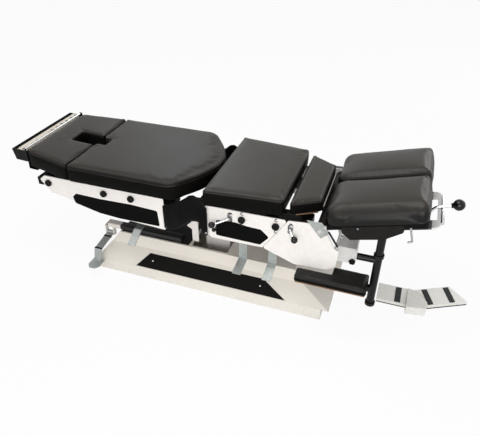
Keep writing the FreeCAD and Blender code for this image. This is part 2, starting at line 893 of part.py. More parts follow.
def thoracic_plate():
    points = thoracic_points()
    plate = slab_xz(points, sharp(len(points), plate_corner), -thoracic_plate_face, -thoracic_plate_inner)
    return plate.cut(thoracic_inset())


def thoracic_inset():
    points = scaled(thoracic_inset_shares, thoracic_plate_left, thoracic_plate_length,
                    thoracic_plate_top - thoracic_plate_height, thoracic_plate_height)
    return slab_xz(points, sharp(len(points), plate_corner), -thoracic_plate_face,
                   -thoracic_plate_face + inset_thickness)


def head_plate():
    """Outline whose slanted left side runs beside the thoracic plate's right side."""
    low = thoracic_points()[2]
    high = thoracic_points()[3]
    left = low[0] + plate_gap
    points = scaled(head_outline_shares, left, head_plate_length, head_plate_bottom, head_plate_height)
    points[0] = (left, low[1])
    points[-1] = (high[0] + plate_gap, thoracic_plate_top)
    plate = slab_xz(points, sharp(len(points), plate_corner), -thoracic_plate_face, -thoracic_plate_inner)
    return plate.cut(rod(pivot_radius, (pivot_x, -thoracic_plate_face - overrun, pivot_z),
                         (pivot_x, -thoracic_plate_inner + overrun, pivot_z)))


def head_end_bracket():
    """White panel across the ends of the head plates with an oval hole and a box for the lobed knob."""
    x0 = end_panel_x - plate_thickness
    panel = box(x0, end_panel_x, -thoracic_plate_inner, thoracic_plate_inner, end_panel_low, end_panel_high)
    oval = rod(oval_radius, (x0 - overrun, -oval_y, oval_z), (end_panel_x + overrun, -oval_y, oval_z))
    block = box(end_panel_x, end_box_right, -end_box_near, -end_box_far, end_box_low, end_box_high)
    edges = [e for e in block.Edges if abs(e.Length - (end_box_near - end_box_far)) < running_clearance]
    block = block.makeFillet(beam_corner, edges)
    bracket = join([panel.cut(oval), block])
    return bracket.cut(rod(knob_stem_radius + running_clearance, (lobe_x, -end_box_near - overrun, lobe_z),
                           (lobe_x, -end_box_near + lobe_depth + slide_clearance, lobe_z)))


def lobed_knob():
    y0 = -end_box_near - soft_gap
    parts = [rod(lobe_radius, (lobe_x, y0, lobe_z), (lobe_x, y0 - lobe_depth, lobe_z))]
    for turn in (90, 210, 330):
        x = lobe_x + lobe_radius * cos(radians(turn))
        z = lobe_z + lobe_radius * sin(radians(turn))
        parts.append(rod(lobe_radius / 2, (x, y0, z), (x, y0 - lobe_depth, z)))
    parts.append(rod(knob_stem_radius, (lobe_x, y0, lobe_z), (lobe_x, -end_box_near + lobe_depth, lobe_z)))
    return join(parts)


def head_pivot_shaft():
    return rod(pivot_radius, (pivot_x, -thoracic_plate_face, pivot_z),
               (pivot_x, thoracic_plate_face, pivot_z))


def knob(x, face):
    """Ribbed tension knob with the stem that passes through the plate."""
    body = rod(knob_radius, (x, -face - soft_gap, knob_z), (x, -face - knob_depth, knob_z))
    rim = [e for e in body.Edges if abs(e.Length - 2 * pi * knob_radius) < running_clearance]
    body = body.makeChamfer(knob_depth / 7, rim)
    stem = rod(knob_stem_radius, (x, -face - soft_gap, knob_z),
               (x, -face + plate_thickness * stem_share, knob_z))
    return join([body, stem])


def ball_lever(slot_x, slot_z, ball, radius, face):
    """Ball on a rod that turns on a hub behind the slotted plate."""
    inner = -face + plate_thickness + running_clearance
    hub = rod(lever_rod_radius * 3, (slot_x, inner, slot_z), (slot_x, inner + 2 * plate_thickness, slot_z))
    neck = rod(lever_rod_radius, (slot_x, inner, slot_z), (slot_x, -face - 2 * lever_rod_radius, slot_z))
    knee = Part.makeSphere(lever_rod_radius, Vector(slot_x, -face - 2 * lever_rod_radius, slot_z))
    arm = rod(lever_rod_radius, (slot_x, -face - 2 * lever_rod_radius, slot_z), ball)
    grip = Part.makeSphere(radius, Vector(*ball))
    return join([hub, neck, knee, arm, grip])


def plan_board(points, low):
    inner = inset_points(points, board_margin)
    return slab_xy(inner, sharp(len(inner), notch_corner), low - soft_gap - board_thickness, low - soft_gap)


def with_guides(board, low, x_list):
    parts = [board]
    top = low - soft_gap - board_thickness
    for x, y in guide_places(x_list):
        parts.append(rod(guide_radius, (x, y, top - guide_length), (x, y, top)))
    return join(parts)


def ankle_points():
    end, full, mouth = ankle_end_width / 2, ankle_width / 2, breath_hole_mouth / 2
    return [(ankle_left, -end), (ankle_right, -full), (ankle_right, -mouth), (breath_hole_left, -mouth),
            (breath_hole_left, mouth), (ankle_right, mouth), (ankle_right, full), (ankle_left, end)]


def ankle_radii():
    return [cushion_corner * 2, cushion_corner, notch_corner, notch_corner, notch_corner, notch_corner,
            cushion_corner, cushion_corner * 2]


def ankle_lift(shape):
    """Carries a piece of the ankle section to its place: the foot end stands a little higher."""
    turned = shape.copy()
    turned.rotate(Vector(ankle_right, 0, cushion_low), Vector(0, 1, 0), ankle_tilt)
    return turned


def ankle_cushion():
    return ankle_lift(cushion(ankle_points(), ankle_radii(), cushion_low, cushion_thickness, edge_round,
                              crown_height))


def ankle_board():
    end, full, mouth = ankle_end_width / 2, ankle_width / 2, breath_hole_mouth / 2
    points = [(ankle_left + board_margin / 2, -end + board_margin), (ankle_right, -full + board_margin),
              (ankle_right, -mouth), (breath_hole_left, -mouth), (breath_hole_left, mouth),
              (ankle_right, mouth), (ankle_right, full - board_margin),
              (ankle_left + board_margin / 2, end - board_margin)]
    low = cushion_low - soft_gap
    board = ankle_lift(slab_xy(points, sharp(len(points), notch_corner), low - board_thickness, low))
    legs = []
    near, far = ankle_right - board_margin, caudal_tube_left
    middle = low - board_thickness / 2
    rise = tan(radians(ankle_tilt))
    for side in (-1, 1):
        y0, y1 = sorted((side * caudal_tube_inner, side * caudal_tube_outer))
        side_points = [(far, frame_tube_top), (near, frame_tube_top), (near, middle + board_margin * rise),
                       (far, middle + (ankle_right - far) * rise)]
        legs.append(slab_xz(side_points, sharp(4, slide_clearance), y0, y1))
    return join([board] + legs)


def pelvic_points():
    half, cheek, nose, throat = [w / 2 for w in (pelvic_width, pelvic_cheek_width, pelvic_nose_width,
                                                 breath_hole_throat)]
    flare = throat + breath_hole_chamfer * 2
    return [(pelvic_left, -half), (pelvic_shoulder, -half), (pelvic_cheek, -cheek), (pelvic_nose, -nose),
            (pelvic_nose, nose), (pelvic_cheek, cheek), (pelvic_shoulder, half), (pelvic_left, half),
            (pelvic_left, flare),
            (pelvic_left + breath_hole_chamfer, throat), (breath_hole_right, throat),
            (breath_hole_right, -throat), (pelvic_left + breath_hole_chamfer, -throat), (pelvic_left, -flare)]


def pelvic_radii():
    nip = notch_corner / 2
    cheek = pelvic_cheek_radius
    return [cushion_corner, pelvic_shoulder_radius, cheek, pelvic_nose_radius, pelvic_nose_radius, cheek,
            pelvic_shoulder_radius, cushion_corner, nip, nip, notch_corner, notch_corner, nip, nip]


def pelvic_cushion():
    return cushion(pelvic_points(), pelvic_radii(), cushion_low, cushion_thickness, edge_round, crown_height)


def pelvic_board():
    half = pelvic_width / 2 - board_margin
    points = [(breath_hole_right + board_margin / 2, -half), (pelvic_shoulder, -half),
              (pelvic_nose - 2 * board_margin, -pelvic_cheek_width / 2),
              (pelvic_nose - 2 * board_margin, pelvic_cheek_width / 2),
              (pelvic_shoulder, half), (breath_hole_right + board_margin / 2, half)]
    low = cushion_low - soft_gap
    board = slab_xy(points, sharp(len(points), notch_corner), low - board_thickness, low)
    return with_guides(board, cushion_low, pelvic_guides_x)


def trapezoid(left, right, left_width, right_width):
    a, b = left_width / 2, right_width / 2
    return [(left, -a), (right, -b), (right, b), (left, a)]


def thoracic_cushion():
    points = trapezoid(thoracic_left, thoracic_right, thoracic_left_width, thoracic_right_width)
    return cushion(points, sharp(4, cushion_corner), cushion_low + crown_height,
                   cushion_thickness - crown_height,
                   edge_round, crown_height)


def thoracic_board():
    points = trapezoid(thoracic_left, thoracic_right, thoracic_left_width, thoracic_right_width)
    low = cushion_low + crown_height
    return with_guides(plan_board(points, low), low, thoracic_guides_x)


def cervical_cushion():
    points = trapezoid(cervical_left, cervical_right, cervical_left_width, cervical_right_width)
    return cushion(points, sharp(4, cushion_corner), table_top - cervical_step - cervical_thickness,
                   cervical_thickness,
                   edge_round, crown_height)


def cervical_board():
    points = trapezoid(cervical_left, cervical_right, cervical_left_width, cervical_right_width)
    low = table_top - cervical_step - cervical_thickness
    board = slab_xy(inset_points(points, board_margin / 2), sharp(4, notch_corner),
                    low - soft_gap - board_thickness, low - soft_gap)
    return with_guides(board, low, cervical_guides_x)


head_half = head_cushion_width + head_cushion_gap / 2
web_low = board_rise - web_drop
handle_low = web_low - handle_thickness
release_z = board_rise - release_drop - release_rod_radius


def head_cushion():
    near = -head_half
    inner = -head_cushion_gap / 2
    end = head_cushion_start + head_cushion_length
    points = [(head_cushion_start, near), (end, near), (end, inner), (head_cushion_start, inner)]
    pad = cushion(points, sharp(4, head_cushion_corner), head_cushion_low, head_cushion_thickness,
                  head_edge_round, crown_height)
    return tilt(pad)


def head_boards():
    end = head_cushion_start + head_cushion_length - head_board_margin
    board = box(head_cushion_start + head_board_margin / 2, end, -head_half + head_board_margin,
                -head_cushion_gap, board_rise, head_cushion_low - soft_gap)
    bored_board = board.cut(rod(wire_radius + running_clearance, (wire_u, -wire_y, board_rise - overrun),
                                (wire_u, -wire_y, board_rise + wire_seat + slide_clearance)))
    return Part.makeCompound([tilt(bored_board), mirror_y(tilt(board))])


def wire_lever():
    """Bent wire lever that turns in the near head board."""
    knee = (wire_u, -wire_y, board_rise - wire_drop)
    tip = (wire_u - wire_hook, -wire_y, board_rise - wire_drop - wire_radius)
    return tilt(join([rod(wire_radius, (wire_u, -wire_y, board_rise + wire_seat), knee),
                      Part.makeSphere(wire_radius, Vector(*knee)), rod(wire_radius, knee, tip),
                      Part.makeSphere(wire_radius, Vector(*tip))]))


def head_subframe():
    parts = []
    hub_half = thoracic_plate_inner - slide_clearance
    parts.append(rod(hub_radius, (0, -hub_half, 0), (0, hub_half, 0)))
    for side in (-1, 1):
        y0, y1 = sorted((side * (web_face - web_thickness), side * web_face))
        points = [(0, -hub_radius / 2), (handle_rim * 2, web_low), (web_length, web_low),
                  (web_length, board_rise), (head_cushion_start, board_rise), (0, hub_radius / 2)]
        wire = Part.makePolygon([Vector(a, y0, b) for a, b in points + points[:1]])
        parts.append(Part.Face(wire).extrude(Vector(0, y1 - y0, 0)))
    for start in (handle_rim * 3, web_length / 2, web_length - handle_rim):
        parts.append(box(start, start + handle_rim, -web_face, web_face, web_low + handle_rim / 2,
                         web_low + handle_rim))
    frame = join(parts)
    bore = rod(pivot_radius + running_clearance, (0, -hub_half - overrun, 0), (0, hub_half + overrun, 0))
    return tilt(frame.cut(bore))


def head_handle():
    """Flat handle plate under the webs with a hand hole at its outer end."""
    half = handle_width / 2
    outer = [(handle_start, -half), (handle_end, -half), (handle_end, half), (handle_start, half)]
    plate = slab_xy(outer, [plate_corner, handle_corner, handle_corner, plate_corner],
                    handle_low, web_low)
    hand = box(handle_hole_start, handle_end - handle_rim / 2, -half + handle_arm_width,
               half - handle_arm_width,
               web_low - overrun, web_low + overrun)
    parts = [plate.cut(hand)]
    for side in (-1, 1):
        y0, y1 = sorted((side * release_half, side * (release_half + bracket_plate)))
        parts.append(box(release_start - bar_pivot_radius, release_start + bar_pivot_radius, y0, y1,
                         release_z - bar_pivot_radius, handle_low))
    parts.append(rod(bar_pin_radius, (release_start, -release_half, release_z),
                     (release_start, release_half, release_z)))
    return tilt(join(parts))


def head_grip_bar():
    half = handle_width / 2 - handle_corner
    x = handle_end + grip_bar_radius + soft_gap
    z = web_low - handle_thickness / 2
    return tilt(rod(grip_bar_radius, (x, -half, z), (x, half, z)))


def head_release_lever():
    elbow = (release_elbow, 0, release_z)
    knee = (release_knee, 0, board_rise - release_knee_drop)
    ball = (release_end, 0, board_rise - release_end_drop)
    barrel = release_half - slide_clearance
    parts = [rod(release_rod_radius, (release_start, 0, release_z), elbow),
             Part.makeSphere(release_rod_radius, Vector(*elbow)), rod(release_rod_radius, elbow, knee),
             Part.makeSphere(release_rod_radius, Vector(*knee)),
             rod(release_rod_radius, knee, ball), Part.makeSphere(release_ball_radius, Vector(*ball)),
             rod(bar_pivot_radius - slide_clearance, (release_start, -barrel, release_z),
                 (release_start, barrel, release_z))]
    lever = join(parts)
    return tilt(lever.cut(rod(bar_pin_radius + running_clearance, (release_start, -release_half, release_z),
                              (release_start, release_half, release_z))))


# Each post stands just inside its side plate, with the socket's wall let into the plate
post_y = head_half - head_board_margin - post_radius - socket_wall / 2


def armrest_brackets():
    """Black side plates on the head boards' edges, each with the upright socket for an armrest post."""
    outer = head_half - head_board_margin + bracket_thickness
    top = head_cushion_low - soft_gap
    points = scaled(bracket_shares, bracket_start, bracket_length, top, bracket_drop)
    plate = slab_xz(points, sharp(len(points), plate_corner / 2), -outer, -outer + bracket_thickness)
    plate = tilt(plate)
    radius = post_radius + socket_wall
    socket = rod(radius, (post_x, -post_y, post_top - socket_depth), (post_x, -post_y, post_top + socket_head))
    bracket = join([plate, socket])
    bore = rod(post_radius + running_clearance, (post_x, -post_y, post_top - socket_depth - overrun),
               (post_x, -post_y, post_top))
    return pair(bracket.cut(bore))


def armrest_post():
    pad_low = arm_pad_top - arm_pad_thickness - soft_gap
    tube = rod(post_radius, (post_x, -post_y, post_bottom), (post_x, -post_y, post_top - soft_gap))
    collar_top = post_top - collar_drop
    collar = rod(post_radius + collar_wall, (post_x, -post_y, collar_top - collar_height),
                 (post_x, -post_y, collar_top))
    cap = rod(post_radius + collar_wall, (post_x, -post_y, post_bottom),
              (post_x, -post_y, post_bottom + collar_height))
    stub_z = collar_top - collar_height - grip_stub_radius - 2 * slide_clearance
    stub = rod(grip_stub_radius, (post_x, -post_y, stub_z),
               (post_x - post_radius - grip_stub_length, -post_y, stub_z))
    tray = slab_xy(arm_pad_points(arm_plate), sharp(6, plate_corner / 2), pad_low - arm_plate, pad_low)
    clamp = box(arm_pad_right - arm_clamp, post_x, -post_y - arm_clamp / 2, -post_y + arm_clamp / 2,
                pad_low - arm_plate - arm_clamp, pad_low - arm_plate)
    return join([tube, collar, cap, stub, tray, clamp])


def arm_pad_points(inset):
    outer = arm_pad_outer - inset
    left, right = arm_pad_left + inset, arm_pad_right - inset
    narrow = arm_pad_outer - arm_pad_narrow + inset
    wide = arm_pad_outer - arm_pad_wide + inset
    step = arm_pad_step + inset
    return [(left, -outer), (right, -outer), (right, -wide), (step, -wide), (step, -narrow), (left, -narrow)]


def armrest_pad():
    radii = [arm_pad_corner, arm_pad_corner, arm_pad_corner, arm_pad_corner, arm_pad_corner / 2,
             arm_pad_corner]
    return cushion(arm_pad_points(0), radii, arm_pad_top - arm_pad_thickness, arm_pad_thickness,
                   arm_pad_corner, crown_height / 2)


def paper_roll():
    half = roll_width / 2
    roll = rod(roll_radius, (roll_x, -half, roll_z), (roll_x, half, roll_z))
    bore = rod(spindle_radius + slide_clearance / 2, (roll_x, -half - overrun, roll_z),
               (roll_x, half + overrun, roll_z))
    return ankle_lift(roll.cut(bore))


def paper_tray():
    """Black trough beyond the cushion's end whose cheeks hold the roll's spindle and the cutter rod."""
    half = roll_width / 2 + tray_gap
    outer = roll_radius + tray_gap
    right = ankle_left - 2 * soft_gap
    left = roll_x - outer - tray_wall - tray_lean / 2
    low = roll_z - outer - tray_wall
    lip = roll_z + roll_radius - tray_gap
    flange_top = cushion_low - board_thickness - 2 * soft_gap
    shell = slab_xz([(left, lip), (left + tray_lean, low), (right, low), (right, lip)], sharp(4, tray_wall),
                    -half - tray_wall, half + tray_wall)
    inside = [(left + tray_wall, lip + overrun), (left + tray_wall, lip),
              (left + tray_lean + tray_wall, low + tray_wall),
              (right - tray_wall, low + tray_wall), (right - tray_wall, lip + overrun)]
    parts = [shell.cut(slab_xz(inside, sharp(5, tray_wall / 2), -half, half))]
    parts.append(box(right - tray_wall, right, -half, half, flange_top - tray_wall, low + tray_wall))
    parts.append(box(right - tray_wall, ankle_left + board_margin, -half, half, flange_top - tray_wall,
                     flange_top))
    for side in (-1, 1):
        y0, y1 = sorted((side * half, side * (half + tray_wall)))
        points = [(cutter_x - 2 * cheek_margin, low + tray_wall), (right - tray_wall, low + tray_wall),
                  (right, cutter_z + cheek_margin), (cutter_x - cheek_margin, cutter_z + cheek_margin)]
        parts.append(slab_xz(points, sharp(4, tray_wall), y0, y1))
    parts.append(rod(spindle_radius, (roll_x, -half, roll_z), (roll_x, half, roll_z)))
    tray = join(parts)
    return ankle_lift(tray.cut(rod(cutter_radius + running_clearance, (cutter_x, -half - overrun, cutter_z),
                                   (cutter_x, half + overrun, cutter_z))))


def cutter_rod():
    half = roll_width / 2 + tray_gap + tray_wall
    return ankle_lift(rod(cutter_radius, (cutter_x, -half, cutter_z), (cutter_x, half, cutter_z)))


def boot():
    """Bulging fabric panel with a domed top and an arch below, one over each side of the waist."""
    outline = (boot_left, boot_right - boot_left, boot_bottom, boot_top - boot_bottom)
    points = scaled(boot_shares, *outline)
    levels = ((0, 0), (boot_bulge / 3, 0), (boot_bulge * 2 / 3, boot_edge / 2), (boot_bulge, boot_edge))
    wires = []
    for out, inset in levels:
        wires.append(rounded_wire(points, sharp(len(points), boot_corner), inset,
                                  lambda a, b, out=out: Vector(a, -caudal_plate_face - soft_gap - out, b)))
    arch = slab_xz(scaled(boot_arch_shares, *outline), sharp(4, boot_corner / 2),
                   -caudal_plate_face - boot_bulge - overrun, -caudal_plate_face)
    return pair(Part.makeLoft(wires, True, True, False).cut(arch))


def wedge(points, front_y, back_y):
    """Housing over a floor outline whose top slopes up from its front edge to its back edge."""
    low = Part.Face(Part.makePolygon([Vector(x, y, 0) for x, y in points + points[:1]]))
    block = low.extrude(Vector(0, 0, control_back_height))
    x0 = min(x for x, y in points) - overrun
    x1 = max(x for x, y in points) + overrun
    rise = control_back_height - control_front_height
    lift = rise * overrun / (back_y - front_y)
    cutter = Part.Face(Part.makePolygon([
        Vector(x0, front_y - overrun, control_front_height - lift),
        Vector(x0, back_y + overrun, control_back_height + lift),
        Vector(x0, front_y - overrun, control_back_height + lift + overrun),
        Vector(x0, front_y - overrun, control_front_height - lift)]))
    return block.cut(cutter.extrude(Vector(x1 - x0, 0, 0)))


def control_top(y, front_y):
    share = (y - front_y) / control_depth
    return control_front_height + (control_back_height - control_front_height) * share


def pedal_bar(centre_x, front_y, grow):
    """Sloping foot key, or its pocket when grown, along the housing's slope."""
    half = pedal_width / 2 + grow
    margin = (control_depth - pedal_length) / 2
    y0 = front_y + margin - grow
    y1 = front_y + control_depth - margin + grow
    proud = overrun if grow else pedal_proud
    depth = pedal_pocket if grow else pedal_pocket - pedal_proud - pedal_gap
    corners = [Vector(centre_x - half, y0, control_top(y0, front_y) - depth),
               Vector(centre_x - half, y1, control_top(y1, front_y) - depth),
               Vector(centre_x - half, y1, control_top(y1, front_y) + proud),
               Vector(centre_x - half, y0, control_top(y0, front_y) + proud)]
    return Part.Face(Part.makePolygon(corners + corners[:1])).extrude(Vector(2 * half, 0, 0))


def left_pedal_x():
    return control_left + control_left_length * left_pedal_share


def right_place(shape):
    """Turns a piece of the right-hand housing about its front left corner and sets it on the floor."""
    moved = shape.copy()
    moved.rotate(Vector(0, 0, 0), Vector(0, 0, 1), control_turn)
    moved.translate(Vector(control_right_x, control_right_y, 0))
    return moved


def foot_control_housing():
    """Two sloping key housings joined by a taller wedge-shaped bridge."""
    x1 = control_left + control_left_length
    y0, y1 = control_front_y, control_front_y + control_depth
    left = wedge([(control_left, y0), (x1, y0), (x1, y1), (control_left, y1)], y0, y1)
    left = left.cut(pedal_bar(left_pedal_x(), y0, pedal_gap))
    right = wedge([(0, 0), (control_right_length, 0),
                   (control_right_length - control_right_skew, control_depth),
                   (-control_left_skew, control_depth)], 0, control_depth)
    for share in right_pedal_shares:
        right = right.cut(pedal_bar(control_right_length * share, 0, pedal_gap))
    turn = radians(control_turn)
    back_x = control_right_x - control_left_skew * cos(turn) - control_depth * sin(turn)
    back_y = control_right_y - control_left_skew * sin(turn) + control_depth * cos(turn)
    front = y0 - bridge_front_reach
    points = [(x1, front), (x1 + bridge_front_width, front + bridge_front_slant),
              (control_right_x, control_right_y),
              (back_x, back_y), (x1, y1)]
    bridge = Part.Face(Part.makePolygon([Vector(x, y, 0) for x, y in points + points[:1]])).extrude(
        Vector(0, 0, bridge_height))
    return join([left, bridge, right_place(right)])


def foot_pedal_right(share):
    return right_place(pedal_bar(control_right_length * share, 0, 0))


def build():
    export("base_pan", base_pan())
    export("base_cover", base_cover())
    export("kick_panels", kick_panels())
    export("base_deck", base_deck())
    export("end_beam", end_beam())
    export("end_lever", end_lever())
    export("outer_column", outer_column())
    export("inner_column", inner_column())
    export("actuator_body", actuator_body())
    export("actuator_rod", actuator_rod())
    export("lift_frame", lift_frame())
    export("flexion_pin", flexion_pin())
    export("caudal_frame", caudal_frame())
    for name, plate, cuts in (
            ("caudal_plates", caudal_plate(), [stem_cut(x, -caudal_plate_face) for x in caudal_knobs_x]),
            ("thoracic_plates", thoracic_plate(),
             [stem_cut(tension_knob_x, -thoracic_plate_face), stem_cut(drop_knob_x, -thoracic_plate_face),
              slot_cut(tension_slot_x, tension_slot_z, -thoracic_plate_face)]),
            ("head_plates", head_plate(), [slot_cut(lock_slot_x, lock_slot_z, -thoracic_plate_face)])):
        near = plate
        for cut in cuts:
            near = near.cut(cut)
        export(name, Part.makeCompound([near, mirror_y(plate)]))
    export("caudal_insets", pair(caudal_inset()))
    export("thoracic_insets", pair(thoracic_inset()))
    export("head_pivot_shaft", head_pivot_shaft())
    export("waist_boots", boot())
    export("control_cable", path_tube(control_cable_points, cable_radius))
    export("ankle_board", ankle_board())
    export("ankle_cushion", ankle_cushion())
    export("pelvic_board", pelvic_board())
    export("pelvic_cushion", pelvic_cushion())
    export("thoracic_board", thoracic_board())
    export("thoracic_cushion", thoracic_cushion())
    export("cervical_board", cervical_board())
    export("cervical_cushion", cervical_cushion())
    export("paper_tray", paper_tray())
    export("paper_roll", paper_roll())
    export("cutter_rod", cutter_rod())
    export("pelvic_lever", pelvic_lever())
    export("thoracic_lever", drop_lever(thoracic_lever_x, thoracic_lever_bend_z, thoracic_lever_end_z))
    export("cervical_lever", drop_lever(cervical_lever_x, cervical_lever_bend_z, cervical_lever_end_z))
    export("tension_lever", ball_lever(tension_slot_x, tension_slot_z,
                                       (tension_ball_x, -tension_ball_y, tension_ball_z), tension_ball_radius,
                                       thoracic_plate_face))
    export("head_lock_lever", ball_lever(lock_slot_x, lock_slot_z, (lock_ball_x, -lock_ball_y, lock_ball_z),
                                         tension_ball_radius, thoracic_plate_face))
    for place, x in zip(("end", "middle", "waist"), caudal_knobs_x):
        export("caudal_knob_" + place, knob(x, caudal_plate_face))
    export("tension_knob", knob(tension_knob_x, thoracic_plate_face))
    export("drop_knob", knob(drop_knob_x, thoracic_plate_face))
    export("head_subframe", head_subframe())
    export("head_handle", head_handle())
    export("head_grip_bar", head_grip_bar())
    export("head_boards", head_boards())
    export("head_cushions", pair(head_cushion()))
    export("head_release_lever", head_release_lever())
    export("wire_lever", wire_lever())
    export("head_end_bracket", head_end_bracket())
    export("lobed_knob", lobed_knob())
    export("armrest_brackets", armrest_brackets())
    for side, turn in (("near", lambda s: s), ("far", mirror_y)):
        export("armrest_post_" + side, turn(armrest_post()))
        export("armrest_pad_" + side, turn(armrest_pad()))
    export("foot_control_housing", foot_control_housing())
    export("foot_key_lower", pedal_bar(left_pedal_x(), control_front_y, 0))
    export("foot_key_raise", foot_pedal_right(right_pedal_shares[0]))
    export("foot_key_stop", foot_pedal_right(right_pedal_shares[1]))


build()
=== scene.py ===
# %% [markdown]
# # An adjusting table with a flexing foot end
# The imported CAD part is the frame: every rigid piece already has its place and its moving body.
# This lesson dresses it: padded vinyl, a fabric boot, paper, plated levers and painted steel.

# %% Load the frame and keep its box
import json

import bmesh
import bpy
import numpy as np
from mathutils import Matrix, Vector
from mathutils.geometry import delaunay_2d_cdt


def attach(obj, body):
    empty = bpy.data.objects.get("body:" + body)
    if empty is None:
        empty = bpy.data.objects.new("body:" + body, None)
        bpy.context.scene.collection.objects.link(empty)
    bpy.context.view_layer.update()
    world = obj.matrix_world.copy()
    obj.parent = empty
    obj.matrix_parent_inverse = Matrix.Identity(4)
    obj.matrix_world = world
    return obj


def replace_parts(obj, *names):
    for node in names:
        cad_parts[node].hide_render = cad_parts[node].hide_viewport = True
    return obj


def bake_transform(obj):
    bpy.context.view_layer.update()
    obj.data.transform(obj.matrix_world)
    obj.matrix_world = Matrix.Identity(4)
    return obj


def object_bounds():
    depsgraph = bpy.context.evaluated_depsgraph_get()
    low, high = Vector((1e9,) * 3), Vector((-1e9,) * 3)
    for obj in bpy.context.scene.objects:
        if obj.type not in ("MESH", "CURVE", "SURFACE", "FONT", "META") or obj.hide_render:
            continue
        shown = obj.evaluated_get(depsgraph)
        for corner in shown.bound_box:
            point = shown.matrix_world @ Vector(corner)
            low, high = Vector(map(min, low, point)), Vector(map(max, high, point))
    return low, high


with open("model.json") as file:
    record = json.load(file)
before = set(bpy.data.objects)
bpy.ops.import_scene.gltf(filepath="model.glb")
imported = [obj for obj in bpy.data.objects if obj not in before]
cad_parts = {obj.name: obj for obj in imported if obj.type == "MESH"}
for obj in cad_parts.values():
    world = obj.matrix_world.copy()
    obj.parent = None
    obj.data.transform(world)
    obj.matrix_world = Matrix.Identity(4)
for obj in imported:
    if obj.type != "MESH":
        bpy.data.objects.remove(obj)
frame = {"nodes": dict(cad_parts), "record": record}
NODES = frame["nodes"]
CAD_BOX = [list(map(float, corner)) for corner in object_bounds()]
TILT = np.radians(15.0)
HEAD_PIVOT = np.array([0.568, 0.0, 0.520])
print("CAD nodes", len(NODES), "box", np.round(CAD_BOX, 3).tolist())

# %% [markdown]
# ## The camera
# A product photo is a plain pinhole view. Its place comes from the edges that the base and the
# cushions share with the axes, so the lens, the turn and the height are numbers, not guesses by eye.

# %% Place the camera
AZIMUTH = np.radians(19.4198)
ELEVATION = np.radians(34.4377)
ROLL = np.radians(-0.1551)
FOCAL_PIXELS = 495.8137
FRAME_WIDTH = 480.0
SENSOR_MM = 36.0
TARGET = np.array([0.1208, 0.0, 0.3228])
DISTANCE = 2.5211


def added(name, data):
    """A new object with the given data, linked into the scene."""
    thing = bpy.data.objects.new(name, data)
    bpy.context.scene.collection.objects.link(thing)
    return thing


def camera_axes():
    """Right, up and back directions: back leans by the elevation, the roll turns right and up."""
    back = np.array([np.sin(AZIMUTH) * np.cos(ELEVATION), -np.cos(AZIMUTH) * np.cos(ELEVATION),
                     np.sin(ELEVATION)])
    right = np.cross(-back, [0.0, 0.0, 1.0])
    right /= np.linalg.norm(right)
    up = np.cross(right, -back)
    return np.cos(ROLL) * right + np.sin(ROLL) * up, -np.sin(ROLL) * right + np.cos(ROLL) * up, back


RIGHT, UP, BACK = camera_axes()
eye = bpy.data.cameras.new("eye")
eye.sensor_width = SENSOR_MM
eye.lens = FOCAL_PIXELS / FRAME_WIDTH * SENSOR_MM
eye.clip_end = 60.0
camera = added("eye", eye)
place = np.eye(4)
place[:3, :3] = np.column_stack([RIGHT, UP, BACK])
place[:3, 3] = TARGET + DISTANCE * BACK
camera.matrix_world = Matrix(place.tolist())
bpy.context.scene.camera = camera
print("lens mm", round(eye.lens, 2))

# %% [markdown]
# ## Surfaces from arrays
# Almost every new piece is a grid of points: one parameter goes round a section, the other along
# a path. The whole grid is worked out at once, and its faces come from the grid's own indices.

# %% Helpers that turn arrays into pieces
SIDES = (("near", -1.0), ("far", 1.0))


def grid_faces(rows, cols, wrap_rows=False, wrap_cols=False):
    """Quads between neighbouring grid points, with the last row or column joined to the first on request."""
    r = np.arange(rows if wrap_rows else rows - 1)
    c = np.arange(cols if wrap_cols else cols - 1)
    a, b = np.meshgrid(r, c, indexing="ij")
    a2, b2 = (a + 1) % rows, (b + 1) % cols
    return np.stack([a * cols + b, a * cols + b2, a2 * cols + b2, a2 * cols + b], -1).reshape(-1, 4)


def make_piece(name, points, faces, body, slot, look, smooth=True):
    """A mesh object from arrays, its poles merged. It rides on a body if one is named."""
    mesh = bpy.data.meshes.new(name)
    corners = np.asarray(points, float).reshape(-1, 3).tolist()
    mesh.from_pydata(corners, [], [list(map(int, f)) for f in faces])
    work = bmesh.new()
    work.from_mesh(mesh)
    bmesh.ops.remove_doubles(work, verts=work.verts, dist=1e-6)
    bmesh.ops.recalc_face_normals(work, faces=work.faces)
    work.to_mesh(mesh)
    work.free()
    mesh.polygons.foreach_set("use_smooth", np.full(len(mesh.polygons), smooth))
    piece = added(name, mesh)
    dress(piece, look)
    if body:
        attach(piece, body)
    return piece


def dress(piece, look):
    """Gives a piece one of the finishes below."""
    piece.data.materials.clear()
    piece.data.materials.append(FINISH[look])


def joined(parts):
    """Stacks pairs of points and faces into one pair, each part's faces counted on from the last."""
    points, faces, count = [], [], 0
    for part_points, part_faces in parts:
        points.append(np.reshape(part_points, (-1, 3)))
        faces.append(np.asarray(part_faces) + count)
        count += len(points[-1])
    return np.vstack(points), np.vstack(faces)


def frames_along(path, reference):
    """Unit tangents of a path and the two directions square to it that keep to the reference."""
    tangent = np.gradient(path, axis=0)
    tangent /= np.linalg.norm(tangent, axis=1, keepdims=True)
    side = np.cross(tangent, reference)
    side /= np.linalg.norm(side, axis=1, keepdims=True)
    return tangent, side, np.cross(side, tangent)


